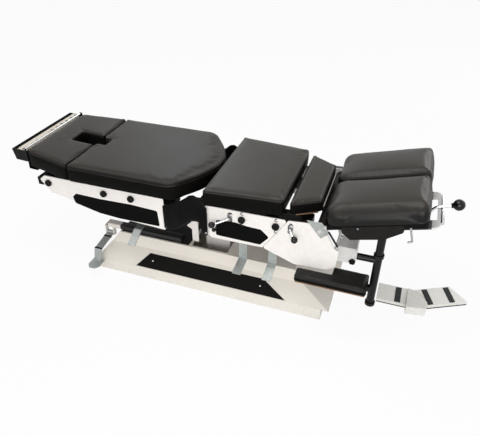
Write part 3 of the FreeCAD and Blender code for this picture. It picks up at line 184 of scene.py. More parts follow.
def tube(path, radius, reference=(0.0, 1.0, 0.0), sides=20, closed=False):
    """Round tube: centre(t) + radius(t) * (cos a * side + sin a * lift). Open ends close to a point."""
    path = np.asarray(path, float)
    radius = np.broadcast_to(radius, len(path))
    if closed:
        looped = np.vstack([path[-1:], path, path[:1]])
        side, lift = [v[1:-1] for v in frames_along(looped, reference)[1:]]
    else:
        path = np.vstack([path[:1], path, path[-1:]])
        radius = np.concatenate([[0.0], radius, [0.0]])
        longer = path.copy()
        longer[0] -= path[2] - path[1]
        longer[-1] += path[-2] - path[-3]
        side, lift = frames_along(longer, reference)[1:]
    angle = np.linspace(0, 2 * np.pi, sides, endpoint=False)
    ring = np.cos(angle)[None, :, None] * side[:, None] + np.sin(angle)[None, :, None] * lift[:, None]
    points = path[:, None] + radius[:, None, None] * ring
    return points, grid_faces(len(path), sides, wrap_rows=closed, wrap_cols=True)


def turned(profile, origin, axis, sides=48, flutes=0, depth=0.0):
    """Turned form: origin + height * axis + radius * round, the radius dipping by depth at each flute."""
    axis = np.asarray(axis, float) / np.linalg.norm(axis)
    helper = np.array([0.0, 0.0, 1.0]) if abs(axis[2]) < 0.9 else np.array([1.0, 0.0, 0.0])
    side = np.cross(axis, helper)
    side /= np.linalg.norm(side)
    lift = np.cross(axis, side)
    angle = np.linspace(0, 2 * np.pi, sides, endpoint=False)
    profile = np.asarray(profile, float)
    rim = 1.0 - depth * (0.5 + 0.5 * np.cos(flutes * angle)) if flutes else np.ones(sides)
    round_ = np.cos(angle)[:, None] * side + np.sin(angle)[:, None] * lift
    points = np.asarray(origin) + profile[:, 1][:, None, None] * axis
    points = points + (profile[:, 0][:, None] * rim)[:, :, None] * round_[None]
    return points, grid_faces(len(profile), sides, wrap_cols=True)


def smooth_route(points, rounding=0.35, steps=10):
    """Straight runs, each corner cut back by a share of its shorter run and rounded by a quadratic curve."""
    points = np.asarray(points, float)
    out = [points[:1]]
    for before, at, after in zip(points[:-2], points[1:-1], points[2:]):
        cut = rounding * min(np.linalg.norm(at - before), np.linalg.norm(after - at))
        a = at + (before - at) / np.linalg.norm(before - at) * cut
        b = at + (after - at) / np.linalg.norm(after - at) * cut
        t = np.linspace(0, 1, steps)[:, None]
        out.append((1 - t) ** 2 * a + 2 * t * (1 - t) * at + t ** 2 * b)
    out.append(points[-1:])
    return np.vstack(out)


def even_steps(path, step):
    """The same path with its points a step apart."""
    length = np.concatenate([[0], np.cumsum(np.linalg.norm(np.diff(path, axis=0), axis=1))])
    marks = np.linspace(0, length[-1], max(int(length[-1] / step), 2) + 1)
    return np.column_stack([np.interp(marks, length, path[:, k]) for k in range(3)])


def head_place(u, y, w):
    """A point of the head section's own tilted plane, in the table's frame."""
    u, y, w = np.broadcast_arrays(np.asarray(u, float), y, w)
    return np.stack([HEAD_PIVOT[0] + u * np.cos(TILT) - w * np.sin(TILT), y + 0.0 * u,
                     HEAD_PIVOT[2] + u * np.sin(TILT) + w * np.cos(TILT)], -1)


# %% [markdown]
# ## Finishes
# Each finish is one pattern group and one shader. The groups put out a tone and a height that
# change over the surface; the shader turns them into colour, roughness and relief. All patterns
# read Object coordinates, so they stay on a piece when it moves.

# %% Nodes that the patterns and finishes share
def feed(tree, socket, value):
    """Links a socket to another one, or sets it to a number, a vector or a colour."""
    if hasattr(value, "is_output"):
        tree.links.new(value, socket)
    else:
        socket.default_value = (*value, 1.0) if socket.type == "RGBA" else value


def put(tree, kind, inputs):
    """A new shader node whose inputs, by name or number, are fed from a dictionary."""
    node = tree.nodes.new("ShaderNode" + kind)
    for key, value in inputs.items():
        feed(tree, node.inputs[key], value)
    return node


def math(tree, operation, a, b=0.0, clamp=False):
    """One Math node whose inputs are sockets or numbers."""
    node = put(tree, "Math", {0: a, 1: b})
    node.operation = operation
    node.use_clamp = clamp
    return node.outputs[0]


def weighed(tree, a, share_a, b, share_b):
    """a * share_a + b * share_b"""
    return math(tree, "ADD", math(tree, "MULTIPLY", a, share_a), math(tree, "MULTIPLY", b, share_b))


def mixed(tree, share, one, two):
    """A colour mix whose ends are sockets or plain colours."""
    node = tree.nodes.new("ShaderNodeMix")
    node.data_type = "RGBA"
    for key, value in ((0, share), (6, one), (7, two)):
        feed(tree, node.inputs[key], value)
    return node.outputs[2]


def spread(tree, value, low, high):
    """Stretches a soft value between two levels to the whole of 0 to 1."""
    return put(tree, "MapRange", {"Value": value, "From Min": low, "From Max": high}).outputs["Result"]


# %% [markdown]
# A pattern group is built once and shared. It takes a vector and a scale, and each pattern copies
# what made the real surface: spray and baking for paint, an embossing roll for vinyl, yarn for
# cloth, a die for drawn metal and a cooling bath for zinc.

# %% Pattern groups, built once
class Pattern:
    """A node group with a vector and a scale going in and the named floats coming out."""

    def __init__(self, name, outputs=("Tone", "Height")):
        """Makes the group's sockets and keeps its inner ends at hand."""
        self.tree = bpy.data.node_groups.new(name, "ShaderNodeTree")
        for word, kind in (("Vector", "Vector"), ("Scale", "Float")):
            self.tree.interface.new_socket(word, in_out="INPUT", socket_type="NodeSocket" + kind)
        for word in outputs:
            self.tree.interface.new_socket(word, in_out="OUTPUT", socket_type="NodeSocketFloat")
        self.vector, self.scale = self.tree.nodes.new("NodeGroupInput").outputs[:2]
        self.ends = self.tree.nodes.new("NodeGroupOutput").inputs

    def noise(self, factor, detail, rough, vector=None):
        """A noise texture at the group's scale times a factor."""
        size = math(self.tree, "MULTIPLY", self.scale, factor)
        values = {"Detail": detail, "Roughness": rough, "Vector": vector or self.vector, "Scale": size}
        return put(self.tree, "TexNoise", values).outputs["Fac"]

    def long_noise(self, stretch, factor):
        """Noise pulled long: the coordinates are multiplied along each axis first."""
        node = put(self.tree, "Mapping", {"Scale": stretch, "Vector": self.vector})
        return self.noise(factor, 3.0, 0.6, node.outputs["Vector"])

    def texture(self, kind, vector=None):
        """Another texture node at the group's own scale."""
        return put(self.tree, "Tex" + kind, {"Vector": vector or self.vector, "Scale": self.scale})

    def done(self, *results):
        """Feeds the group's outputs and returns the finished group."""
        for end, result in zip(self.ends, results):
            self.tree.links.new(result, end)
        return self.tree


def paint_pattern():
    """Powder coat: broad clouds for the tone, fine orange peel for the height."""
    coat = Pattern("powder_coat")
    clouds, peel = coat.noise(0.01, 3.0, 0.6), coat.noise(1.0, 2.0, 0.5)
    specks = spread(coat.tree, coat.noise(0.35, 5.0, 0.7), 0.35, 0.75)
    return coat.done(weighed(coat.tree, clouds, 0.7, specks, 0.3), peel)


def vinyl_pattern():
    """Pressed hide grain: cells with soft walls, bent by noise, over slow stretch marks."""
    hide = Pattern("pressed_grain")
    tree = hide.tree
    bend = math(tree, "MULTIPLY", hide.noise(0.15, 3.0, 0.6), 0.004)
    shift = put(tree, "CombineXYZ", {"X": bend, "Y": bend, "Z": bend})
    bent = put(tree, "VectorMath", {0: hide.vector, 1: shift.outputs[0]})
    cells = hide.texture("Voronoi", bent.outputs[0])
    cells.feature = "DISTANCE_TO_EDGE"
    walls = spread(tree, cells.outputs["Distance"], 0.0, 0.22)
    fine, slow = hide.noise(2.2, 3.0, 0.6), hide.noise(0.012, 4.0, 0.6)
    return hide.done(weighed(tree, slow, 0.8, walls, 0.2), weighed(tree, walls, 0.7, fine, 0.3))


def weave_pattern():
    """Plain weave: over and under waves along two directions, with uneven yarn."""
    cloth = Pattern("plain_weave")
    waves = []
    for direction in "XZ":
        wave = cloth.texture("Wave")
        wave.bands_direction = direction
        wave.inputs["Distortion"].default_value = 0.6
        waves.append(wave.outputs["Fac"])
    crossed = math(cloth.tree, "MULTIPLY", *waves)
    return cloth.done(weighed(cloth.tree, cloth.noise(0.03, 4.0, 0.6), 0.7, crossed, 0.3), crossed)


def brushed_pattern(name, stretch):
    """Drawn or rolled metal: noise pulled long along one axis, over slow cloudy tone."""
    metal = Pattern(name)
    lines, slow = metal.long_noise(stretch, 1.0), metal.noise(0.03, 4.0, 0.65)
    return metal.done(weighed(metal.tree, lines, 0.45, slow, 0.55), lines)


def spangle_pattern():
    """Zinc plate: crystals of slightly different grey under fine rolling lines."""
    zinc = Pattern("zinc_spangle")
    grey = put(zinc.tree, "SeparateColor", {0: zinc.texture("Voronoi").outputs["Color"]})
    fine = zinc.long_noise((1.0, 8.0, 8.0), 2.0)
    return zinc.done(weighed(zinc.tree, grey.outputs[0], 0.5, fine, 0.5), fine)


def rub_pattern():
    """Edge rub: where the surface turns sharply outwards, broken up by noise."""
    edge = Pattern("edge_rub", outputs=("Mask",))
    geometry = put(edge.tree, "NewGeometry", {})
    sharp = spread(edge.tree, geometry.outputs["Pointiness"], 0.52, 0.62)
    patches = spread(edge.tree, edge.noise(1.0, 5.0, 0.7), 0.35, 0.7)
    return edge.done(math(edge.tree, "MULTIPLY", sharp, patches, clamp=True))


PATTERNS = {"paint": paint_pattern(), "vinyl": vinyl_pattern(), "weave": weave_pattern(),
            "spangle": spangle_pattern(), "drawn_up": brushed_pattern("drawn_upright", (14.0, 14.0, 0.35)),
            "drawn_long": brushed_pattern("drawn_lengthwise", (0.5, 12.0, 12.0))}
EDGE_RUB = rub_pattern()
print("pattern groups", len(PATTERNS) + 1)

# %% [markdown]
# One function makes every finish from a few numbers: two colours, two roughnesses, a pattern and its
# depth, and for the vinyls a painted shade on faces that don't look up. Painted edges get a rub where
# hands and shoes touch them, and a small rounding so that no edge is a perfect line.

# %% One maker for all finishes
RUB_SCALE = 60.0
SHADE_FADE_START, SHADE_FADE_END = 0.25, 0.97


def finish(name, dark, light, rough, pattern="paint", scale=400.0, relief=0.1, depth=0.0004, metallic=0.0,
           rub=None, rub_share=0.5, rounding=0.0, specular=0.5, under=None, zones=()):
    """A Principled material: the tone mixes dark to light and low to high roughness, the height makes relief.
    under is painted shade: a darker colour for faces that don't look up, as the light reaches them less. Each
    zone is (axis, level, colour): beyond that level of an Object coordinate the part gets another colour."""
    material = bpy.data.materials.new(name)
    material.use_nodes = True
    tree = material.node_tree
    shader = tree.nodes["Principled BSDF"]
    place = put(tree, "TexCoord", {}).outputs

    def grouped(group, size):
        """A pattern group at a scale, read from the piece's own coordinates."""
        node = tree.nodes.new("ShaderNodeGroup")
        node.node_tree = group
        feed(tree, node.inputs["Scale"], size)
        feed(tree, node.inputs["Vector"], place["Object"])
        return node.outputs

    skin = grouped(PATTERNS[pattern], scale)
    colour = mixed(tree, skin["Tone"], dark, light)
    if rub:
        wear = math(tree, "MULTIPLY", grouped(EDGE_RUB, RUB_SCALE)["Mask"], rub_share)
        colour = mixed(tree, wear, colour, rub)
    # Painted shade: faces fade to the darker under colour as they turn from up to sideways and down.
    if under:
        upward = put(tree, "SeparateXYZ", {0: place["Normal"]}).outputs["Z"]
        colour = mixed(tree, spread(tree, upward, SHADE_FADE_START, SHADE_FADE_END), under, colour)
    for axis, level, other in zones:
        along = put(tree, "SeparateXYZ", {0: place["Object"]}).outputs[axis]
        colour = mixed(tree, math(tree, "GREATER_THAN", along, level), colour, other)
    low, high = rough
    ramp = put(tree, "MapRange", {"Value": skin["Tone"], "To Min": low, "To Max": high})
    bump = put(tree, "Bump", {"Strength": relief, "Distance": depth, "Height": skin["Height"]})
    if rounding:
        bevel = put(tree, "Bevel", {"Radius": rounding})
        bevel.samples = 4
        feed(tree, bump.inputs["Normal"], bevel.outputs["Normal"])
    for key, value in {"Base Color": colour, "Roughness": ramp.outputs["Result"], "Metallic": metallic,
                       "Specular IOR Level": specular, "Normal": bump.outputs["Normal"]}.items():
        feed(tree, shader.inputs[key], value)
    return material


# %% [markdown]
# The table of finishes comes next: first the two colours and the roughness range, then what is
# special. Blacks reflect little here, because a white studio would turn a glossy black into grey.
# Three parts change colour at a level of one coordinate: the end beam is black but for its left end,
# the lift frame is painted dark above the plates as painted shade in the gaps between the pads, and
# the handle's chrome end is painted as grey and bright bands, a painted reflection.

# %% The finishes
CREAM = dict(scale=420.0, relief=0.10, rounding=0.0015, rub=(0.60, 0.56, 0.50), rub_share=0.25)
DRAWN = dict(pattern="drawn_long", scale=300.0, metallic=1.0)
VINYL = dict(pattern="vinyl", scale=520.0, relief=0.22, depth=0.0005, specular=0.20)
# Painted shade: the vinyl colour of faces that don't look up.
UNLIT_VINYL = (0.0036, 0.0032, 0.0029)
COAL = (0.0045, 0.0043, 0.0042)
# Painted reflection: a grey and a bright band stand in for the handle's chrome end mirroring the white room.
PAINTED_CHROME_REFLECTION = ((0, 0.991, (0.12, 0.115, 0.11)), (0, 1.0035, (0.80, 0.79, 0.78)))
LOOKS = {
    "cream_paint": ((0.80, 0.745, 0.665), (0.86, 0.81, 0.735), (0.34, 0.45), CREAM),
    "plinth_paint": ((0.84, 0.795, 0.725), (0.89, 0.85, 0.785), (0.35, 0.48), CREAM),
    "beam_paint": ((0.78, 0.73, 0.68), (0.85, 0.80, 0.75), (0.30, 0.42),
                   CREAM | dict(zones=((0, -0.500, COAL),))),
    # Painted shade: above z = 0.462 the lift frame is near black, for the shade in the gaps between the pads.
    "frame_paint": ((0.85, 0.81, 0.76), (0.92, 0.88, 0.83), (0.35, 0.5),
                    CREAM | dict(zones=((2, 0.462, (0.012, 0.0115, 0.011)),))),
    "plate_paint": ((0.90, 0.855, 0.82), (0.95, 0.915, 0.885), (0.28, 0.40), CREAM),
    "pedal_paint": ((0.94, 0.925, 0.87), (0.98, 0.965, 0.92), (0.35, 0.5), CREAM),
    "black_panel": ((0.0050, 0.0048, 0.0045), (0.0105, 0.0100, 0.0096), (0.55, 0.75),
                    dict(scale=900.0, relief=0.5, rounding=0.001, specular=0.06)),
    "inset_black": ((0.0022, 0.0022, 0.0022), (0.0055, 0.0054, 0.0052), (0.6, 0.8),
                    dict(scale=1100.0, relief=0.6, rounding=0.001, specular=0.04)),
    "black_deck": ((0.006, 0.0065, 0.0065), (0.016, 0.017, 0.018), (0.45, 0.7),
                   dict(scale=700.0, relief=0.5, rounding=0.001, specular=0.12)),
    "board_black": ((0.004, 0.004, 0.004), (0.009, 0.0085, 0.008), (0.5, 0.7),
                    dict(scale=600.0, relief=0.3, rounding=0.001, specular=0.06)),
    "black_frame": ((0.0055, 0.0048, 0.0044), (0.0105, 0.0092, 0.0084), (0.36, 0.5),
                    dict(scale=600.0, relief=0.18, rub=(0.05, 0.045, 0.042), rub_share=0.25,
                         rounding=0.0012, specular=0.14)),
    "tray_black": ((0.004, 0.004, 0.0042), (0.010, 0.010, 0.0105), (0.35, 0.5),
                   dict(relief=0.2, rub=(0.06, 0.055, 0.05), rub_share=0.25, rounding=0.001, specular=0.12)),
    "post_black": ((0.004, 0.0038, 0.0036), (0.009, 0.0086, 0.0082), (0.14, 0.22),
                   dict(relief=0.08, rub=(0.1, 0.095, 0.09), rub_share=0.25, rounding=0.001, specular=0.22)),
    "lever_black": ((0.004, 0.004, 0.004), (0.009, 0.009, 0.009), (0.3, 0.4), dict(relief=0.1, specular=0.2)),
    "wire_zinc": ((0.42, 0.43, 0.42), (0.62, 0.63, 0.62), (0.28, 0.4),
                  dict(pattern="spangle", scale=300.0, relief=0.1, metallic=0.9)),
    "dark_paint": ((0.008, 0.008, 0.009), (0.02, 0.02, 0.021), (0.4, 0.55), dict(specular=0.2)),
    "knob_plastic": ((0.003, 0.003, 0.003), (0.007, 0.007, 0.007), (0.35, 0.5),
                     dict(scale=900.0, relief=0.15, specular=0.12)),
    "ball_plastic": ((0.003, 0.003, 0.003), (0.006, 0.006, 0.006), (0.05, 0.10),
                     dict(scale=200.0, relief=0.02, specular=0.35)),
    "key_rubber": ((0.020, 0.022, 0.023), (0.055, 0.058, 0.060), (0.55, 0.7),
                   dict(scale=900.0, relief=0.3, specular=0.25)),
    "cable_rubber": ((0.004, 0.004, 0.004), (0.010, 0.010, 0.010), (0.45, 0.6),
                     dict(relief=0.1, specular=0.15)),
    "boot_fabric": ((0.0022, 0.0022, 0.0024), (0.0065, 0.0065, 0.007), (0.38, 0.55),
                    dict(pattern="weave", scale=700.0, relief=0.4, specular=0.05)),
    "paper": ((0.60, 0.54, 0.45), (0.74, 0.69, 0.60), (0.75, 0.9), dict(scale=500.0, relief=0.25)),
    "zinc_steel": ((0.33, 0.35, 0.34), (0.54, 0.57, 0.555), (0.30, 0.46),
                   dict(pattern="spangle", scale=180.0, relief=0.1, metallic=0.8, rounding=0.001)),
    "pin_steel": ((0.30, 0.30, 0.31), (0.46, 0.46, 0.47), (0.25, 0.4), DRAWN | dict(relief=0.1)),
    "column_aluminium": ((0.80, 0.77, 0.74), (0.92, 0.89, 0.86), (0.32, 0.45),
                         dict(pattern="drawn_up", scale=120.0, relief=0.15, metallic=0.1, rounding=0.001)),
    "inner_aluminium": ((0.70, 0.67, 0.64), (0.84, 0.81, 0.78), (0.30, 0.42),
                        dict(pattern="drawn_up", scale=120.0, relief=0.15, metallic=0.4, rounding=0.001)),
    "rod_chrome": ((0.66, 0.66, 0.67), (0.78, 0.78, 0.79), (0.08, 0.16), DRAWN | dict(relief=0.04)),
    "lever_chrome": ((0.66, 0.66, 0.67), (0.78, 0.78, 0.79), (0.10, 0.18), DRAWN | dict(relief=0.04)),
    # vinyl: the cover's own colour, with painted shade on faces that don't look up.
    "vinyl": ((0.0150, 0.0118, 0.0085), (0.0270, 0.0222, 0.0170), (0.33, 0.45),
              VINYL | dict(under=UNLIT_VINYL)),
    # Painted light: a lighter copy of the vinyl that puts the sheen of the pads towards the head into their
    # colour.
    "vinyl_painted_light": ((0.0230, 0.0192, 0.0148), (0.0400, 0.0345, 0.0280), (0.30, 0.42),
                   VINYL | dict(relief=0.24, specular=0.24, under=UNLIT_VINYL)),
    # Painted shade: a darker copy of the vinyl for the faces below the sewn line.
    "vinyl_painted_shade": ((0.0026, 0.0024, 0.0021), (0.0046, 0.0042, 0.0038), (0.42, 0.55),
                   VINYL | dict(relief=0.2, specular=0.05)),
    # Painted shade: arm vinyl faces that don't look up take the darker under colour.
    "arm_vinyl": ((0.0065, 0.0058, 0.0052), (0.0115, 0.0104, 0.0095), (0.36, 0.48),
                  VINYL | dict(under=(0.0034, 0.0031, 0.0029))),
    "plywood": ((0.20, 0.11, 0.06), (0.34, 0.21, 0.12), (0.5, 0.7),
                dict(pattern="drawn_long", scale=200.0, relief=0.2)),
    "screw_steel": ((0.62, 0.62, 0.61), (0.78, 0.78, 0.77), (0.14, 0.25), DRAWN | dict(relief=0.05)),
    # The handle's end bands are a painted reflection of chrome.
    "handle_black": ((0.0045, 0.0042, 0.004), (0.010, 0.0095, 0.009), (0.25, 0.38),
                     dict(scale=600.0, relief=0.12, rounding=0.0012, specular=0.3, zones=PAINTED_CHROME_REFLECTION)),
    "caudal_black": ((0.004, 0.004, 0.004), (0.010, 0.010, 0.010), (0.4, 0.6),
                     dict(scale=500.0, relief=0.2, specular=0.12)),
    "panel_white": ((0.93, 0.915, 0.89), (0.97, 0.96, 0.94), (0.30, 0.42), CREAM),
}
FINISH = {name: finish(name, dark, light, rough, **more)
          for name, (dark, light, rough, more) in LOOKS.items()}
OWN_LOOK = {"head_handle": "handle_black", "caudal_frame": "caudal_black", "head_end_bracket": "panel_white",
            "wire_lever": "wire_zinc"}
SLOT_OF = {row["node"]: row["material_slot"] for row in frame["record"]["subparts"]}
for node_name, node in NODES.items():
    look = FINISH[OWN_LOOK.get(node_name, SLOT_OF[node_name])]
    if node.material_slots:
        for holder in node.material_slots:
            holder.material = look
    else:
        node.data.materials.append(look)
print("finishes", len(FINISH))

# %% [markdown]
# ## The floor, the sky and the lamps
# The product stands on a plain pale floor. Camera, glossy and transmission rays see a white sky, so
# chrome shows it too, while the light on the object itself stays at a plain level.

# %% Stage
WHITE = (1.0, 1.0, 1.0)
FLOOR_PAINT = (0.86, 0.86, 0.855)
FLOOR_GAP, FLOOR_HALF = 0.0005, 14.0
FLOOR_GLOW = 0.93
SKY_LEVEL = 0.50


def ray_share(tree, *kinds):
    """1 where the ray is of one of the kinds, else 0."""
    ray = put(tree, "LightPath", {}).outputs
    share = ray["Is Camera Ray"]
    for kind in kinds[:-1]:
        share = math(tree, "ADD", share, ray[kind])
    return math(tree, "ADD", share, ray[kinds[-1]], clamp=True)


def stage_floor(level):
    """A square floor whose material shows white to the camera and keeps the table's shadow."""
    mesh = bpy.data.meshes.new("studio_floor")
    corners = np.array([[-1, -1, 0], [1, -1, 0], [1, 1, 0], [-1, 1, 0]], float) * FLOOR_HALF
    corners[:, 2] = level
    mesh.from_pydata(corners.tolist(), [], [(0, 1, 2, 3)])
    added("studio_floor", mesh)
    material = bpy.data.materials.new("floor_white")
    material.use_nodes = True
    tree = material.node_tree
    tree.nodes.clear()
    paint, glow = put(tree, "BsdfDiffuse", {"Color": FLOOR_PAINT}), put(tree, "Emission", {"Color": WHITE})
    share = math(tree, "MULTIPLY", ray_share(tree, "Is Transmission Ray"), FLOOR_GLOW)
    mix = put(tree, "MixShader", {0: share, 1: paint.outputs[0], 2: glow.outputs[0]})
    put(tree, "OutputMaterial", {"Surface": mix.outputs[0]})
    mesh.materials.append(material)


def white_sky(plain_level):
    """The world: 1 for camera, glossy and transmission rays, and a plain level for light on surfaces."""
    world = bpy.data.worlds.new("studio_sky")
    bpy.context.scene.world = world
    world.use_nodes = True
    tree = world.node_tree
    seen = ray_share(tree, "Is Glossy Ray", "Is Transmission Ray")
    strength = math(tree, "ADD", math(tree, "MULTIPLY", seen, 1.0 - plain_level), plain_level)
    sky = tree.nodes["Background"].inputs
    feed(tree, sky["Color"], WHITE)
    feed(tree, sky["Strength"], strength)


def softbox(name, place, aim, size, level, tint=WHITE):
    """An area lamp of power level * pi^2 * distance^2, so a white surface that faces it gets that level."""
    lamp = bpy.data.lights.new(name, "AREA")
    lamp.shape = "RECTANGLE"
    lamp.size, lamp.size_y = size
    lamp.color = tint
    way = Vector(aim) - Vector(place)
    lamp.energy = level * np.pi ** 2 * way.length ** 2
    holder = added(name, lamp)
    holder.location = place
    holder.rotation_mode = "QUATERNION"
    holder.rotation_quaternion = way.to_track_quat("-Z", "Y")


stage_floor(CAD_BOX[0][2] - FLOOR_GAP)
white_sky(SKY_LEVEL)
softbox("overhead", (-0.1, -0.5, 3.2), (0.0, 0.0, 0.4), (1.7, 1.0), 0.42)
softbox("front_fill", (1.2, -4.0, 1.5), (0.1, 0.0, 0.4), (3.0, 1.6), 0.42)
softbox("window_behind", (-1.5, 2.6, 2.6), (-0.5, 0.1, 0.6), (0.8, 0.7), 0.09, (0.80, 0.93, 1.0))
softbox("rim_light", (2.9, 3.9, 1.9), (0.4, 0.0, 0.6), (2.4, 2.2), 0.12)
bpy.context.scene.view_settings.view_transform = "Standard"

# %% [markdown]
# ## Padded vinyl
# A pad is a board, a block of foam and a cover whose top panel is sewn to its side band. Here each
# pad starts flat on a bench: its outline is carried up a profile, with a sewn valley under the rim,
# and the top is filled with even triangles. Cloth with air pressure then rounds the cover between
# its sewn lines, as foam does. The pad goes to its place last.

# %% Outlines
def shifted(points, insets):
    """Each edge of a counter-clockwise outline moves in by its own inset and meets its neighbours again."""
    edge = np.roll(points, -1, 0) - points
    edge = edge / np.linalg.norm(edge, axis=1, keepdims=True)
    start = points + np.column_stack([-edge[:, 1], edge[:, 0]]) * np.asarray(insets)[:, None]
    before, before_edge = np.roll(start, 1, 0), np.roll(edge, 1, 0)
    gap = start - before
    cross = before_edge[:, 0] * edge[:, 1] - before_edge[:, 1] * edge[:, 0]
    share = (gap[:, 0] * edge[:, 1] - gap[:, 1] * edge[:, 0]) / cross
    return before + before_edge * share[:, None]


def rounded_ring(points, radii, arc_steps, run_steps):
    """Closed ring of points: at each corner an arc that both runs touch, and even points along each run."""
    count = len(points)
    arcs = []
    for i in range(count):
        corner = points[i]
        back, ahead = points[i - 1] - corner, points[(i + 1) % count] - corner
        room = min(np.linalg.norm(back), np.linalg.norm(ahead))
        back, ahead = back / np.linalg.norm(back), ahead / np.linalg.norm(ahead)
        half = np.arccos(np.clip(back @ ahead, -1, 1)) / 2
        cut = min(radii[i] / np.tan(half), room * 0.48)
        radius = cut * np.tan(half)
        centre = corner + (back + ahead) / np.linalg.norm(back + ahead) * cut / np.cos(half)
        one, two = (corner + back * cut - centre) / radius, (corner + ahead * cut - centre) / radius
        sweep = np.pi - 2 * half
        t = np.linspace(0, 1, arc_steps[i])[:, None]
        arc = (np.sin((1 - t) * sweep) * one + np.sin(t * sweep) * two) / np.sin(sweep)
        arcs.append(centre + radius * arc)
    ring = []
    for i in range(count):
        ring.append(arcs[i])
        t = np.linspace(0, 1, run_steps[i] + 2)[1:-1, None]
        ring.append((1 - t) * arcs[i][-1] + t * arcs[(i + 1) % count][0])
    return np.vstack(ring)


def ring_steps(points, radii, arc_pitch=0.006, run_pitch=0.0075):
    """How many points each corner and each run gets, from the outline's full size."""
    edge = np.linalg.norm(np.roll(points, -1, 0) - points, axis=1)
    arcs = [int(max(5, r * 1.6 / arc_pitch)) for r in radii]
    return arcs, [int(max(2, e / run_pitch)) for e in edge]


def inside(ring, spots):
    """Even-odd rule: a spot is inside where a ray to its right crosses the ring an odd number of times."""
    a, b = ring[None], np.roll(ring, -1, 0)[None]
    x, y = spots[:, :1], spots[:, 1:]
    spans = (a[..., 1] > y) != (b[..., 1] > y)
    run = np.where(np.abs(b[..., 1] - a[..., 1]) < 1e-12, 1e-12, b[..., 1] - a[..., 1])
    at = a[..., 0] + (y - a[..., 1]) * (b[..., 0] - a[..., 0]) / run
    return (spans & (x < at)).sum(1) % 2 == 1


def filled(ring, pitch):
    """Triangles inside a ring: a staggered grid of spots is joined to the ring. Returns spots, depths, faces.
    A spot's depth is pi / (sum of ring steps over squared distances): near a straight edge it is the
    distance to that edge, and in the middle it rounds off without a crease."""
    low, high = ring.min(0), ring.max(0)
    rows, cols = np.meshgrid(np.arange(low[1], high[1], pitch * 0.87), np.arange(low[0], high[0], pitch),
                             indexing="ij")
    cols = cols + (np.arange(len(rows)) % 2)[:, None] * pitch / 2
    spots = np.column_stack([cols.ravel(), rows.ravel()])
    spots = spots[inside(ring, spots)]
    square = ((spots[:, None] - ring[None]) ** 2).sum(-1)
    clear = np.sqrt(square.min(1)) > pitch * 0.62
    step = np.linalg.norm(np.roll(ring, -1, 0) - np.roll(ring, 1, 0), axis=1) / 2
    spots, away = spots[clear], np.pi / (step / square[clear]).sum(1)
    verts = [Vector(p) for p in np.vstack([ring, spots])]
    around = list(range(len(ring)))
    made = delaunay_2d_cdt(verts, [], [around], 1, 1e-7)
    source = np.array([ids[0] if ids else -1 for ids in made[3]])
    return spots, away, [tuple(int(source[k]) for k in face) for face in made[2]]


# %% [markdown]
# Modifiers such as a bevel or cloth work on whole objects. So a piece is made from arrays, a modifier
# is put on it, the result is read back as its own mesh, and the arrays take over again.

# %% Meshes as arrays, and modifiers settled into them
def read(items, attribute):
    """One vector attribute of a mesh's vertices or faces as an array."""
    flat = np.empty(len(items) * 3, np.float32)
    items.foreach_get(attribute, flat)
    return flat.reshape(-1, 3).astype(float)


def coordinates(mesh):
    """Vertex positions of a mesh as one array."""
    return read(mesh.vertices, "co")


def normals(mesh):
    """Vertex normals of a mesh as one array."""
    return read(mesh.vertex_normals, "vector")


def set_coordinates(mesh, points):
    """Moves a mesh's vertices to an array of places."""
    mesh.vertices.foreach_set("co", np.asarray(points, np.float32).ravel())
    mesh.update()


def settle(piece):
    """Puts what the modifiers make of a piece into its own mesh."""
    made = bpy.data.meshes.new_from_object(piece.evaluated_get(bpy.context.evaluated_depsgraph_get()))
    piece.modifiers.clear()
    piece.data = made
    piece.data.name = piece.name


def modified(piece, kind, **settings):
    """Puts one modifier on a piece and keeps what it makes as the piece's own mesh."""
    modifier = piece.modifiers.new(kind.lower(), kind)
    for setting, value in settings.items():
        setattr(modifier, setting, value)
    settle(piece)
    return piece


# %% [markdown]
# The pad's side is a stack of rings, close together where the surface bends: at the foot, at the
# sewn valley and round the rim. The inset of each ring tells how far it stands in from the outline.

# %% A pad on its bench
SEWN = ((-0.003, 0.15), (-0.0012, 0.7), (0.0, 1.0), (0.0012, 0.7), (0.003, 0.15))
RIM = np.linspace(0, np.pi / 2 * 0.93, 9)
DOME_REACH = 0.11


def profile_levels(height, roll, seam_drop, groove):
    """Heights of the side's rows and the groove's depth at each, from the foot up to the rim."""
    seam = height - seam_drop
    under = np.linspace(0.004, seam - 0.006, max(int((seam - 0.010) / 0.0085), 2))
    rows = [(0.0, 0.0), (0.0015, 0.0)] + [(z, 0.0) for z in under]
    rows += [(seam + up, share) for up, share in SEWN]
    shoulder = height - roll.max()
    if shoulder - seam > 0.008:
        steps = max(int((shoulder - seam) / 0.008), 1)
        rows += [(z, 0.0) for z in np.linspace(seam + 0.006, shoulder - 0.002, steps)]
    start = max(shoulder, seam + 0.004)
    rows += [(start + (height - start) * np.sin(a), 0.0) for a in RIM]
    levels, shares = np.array(rows).T
    return levels, shares * groove


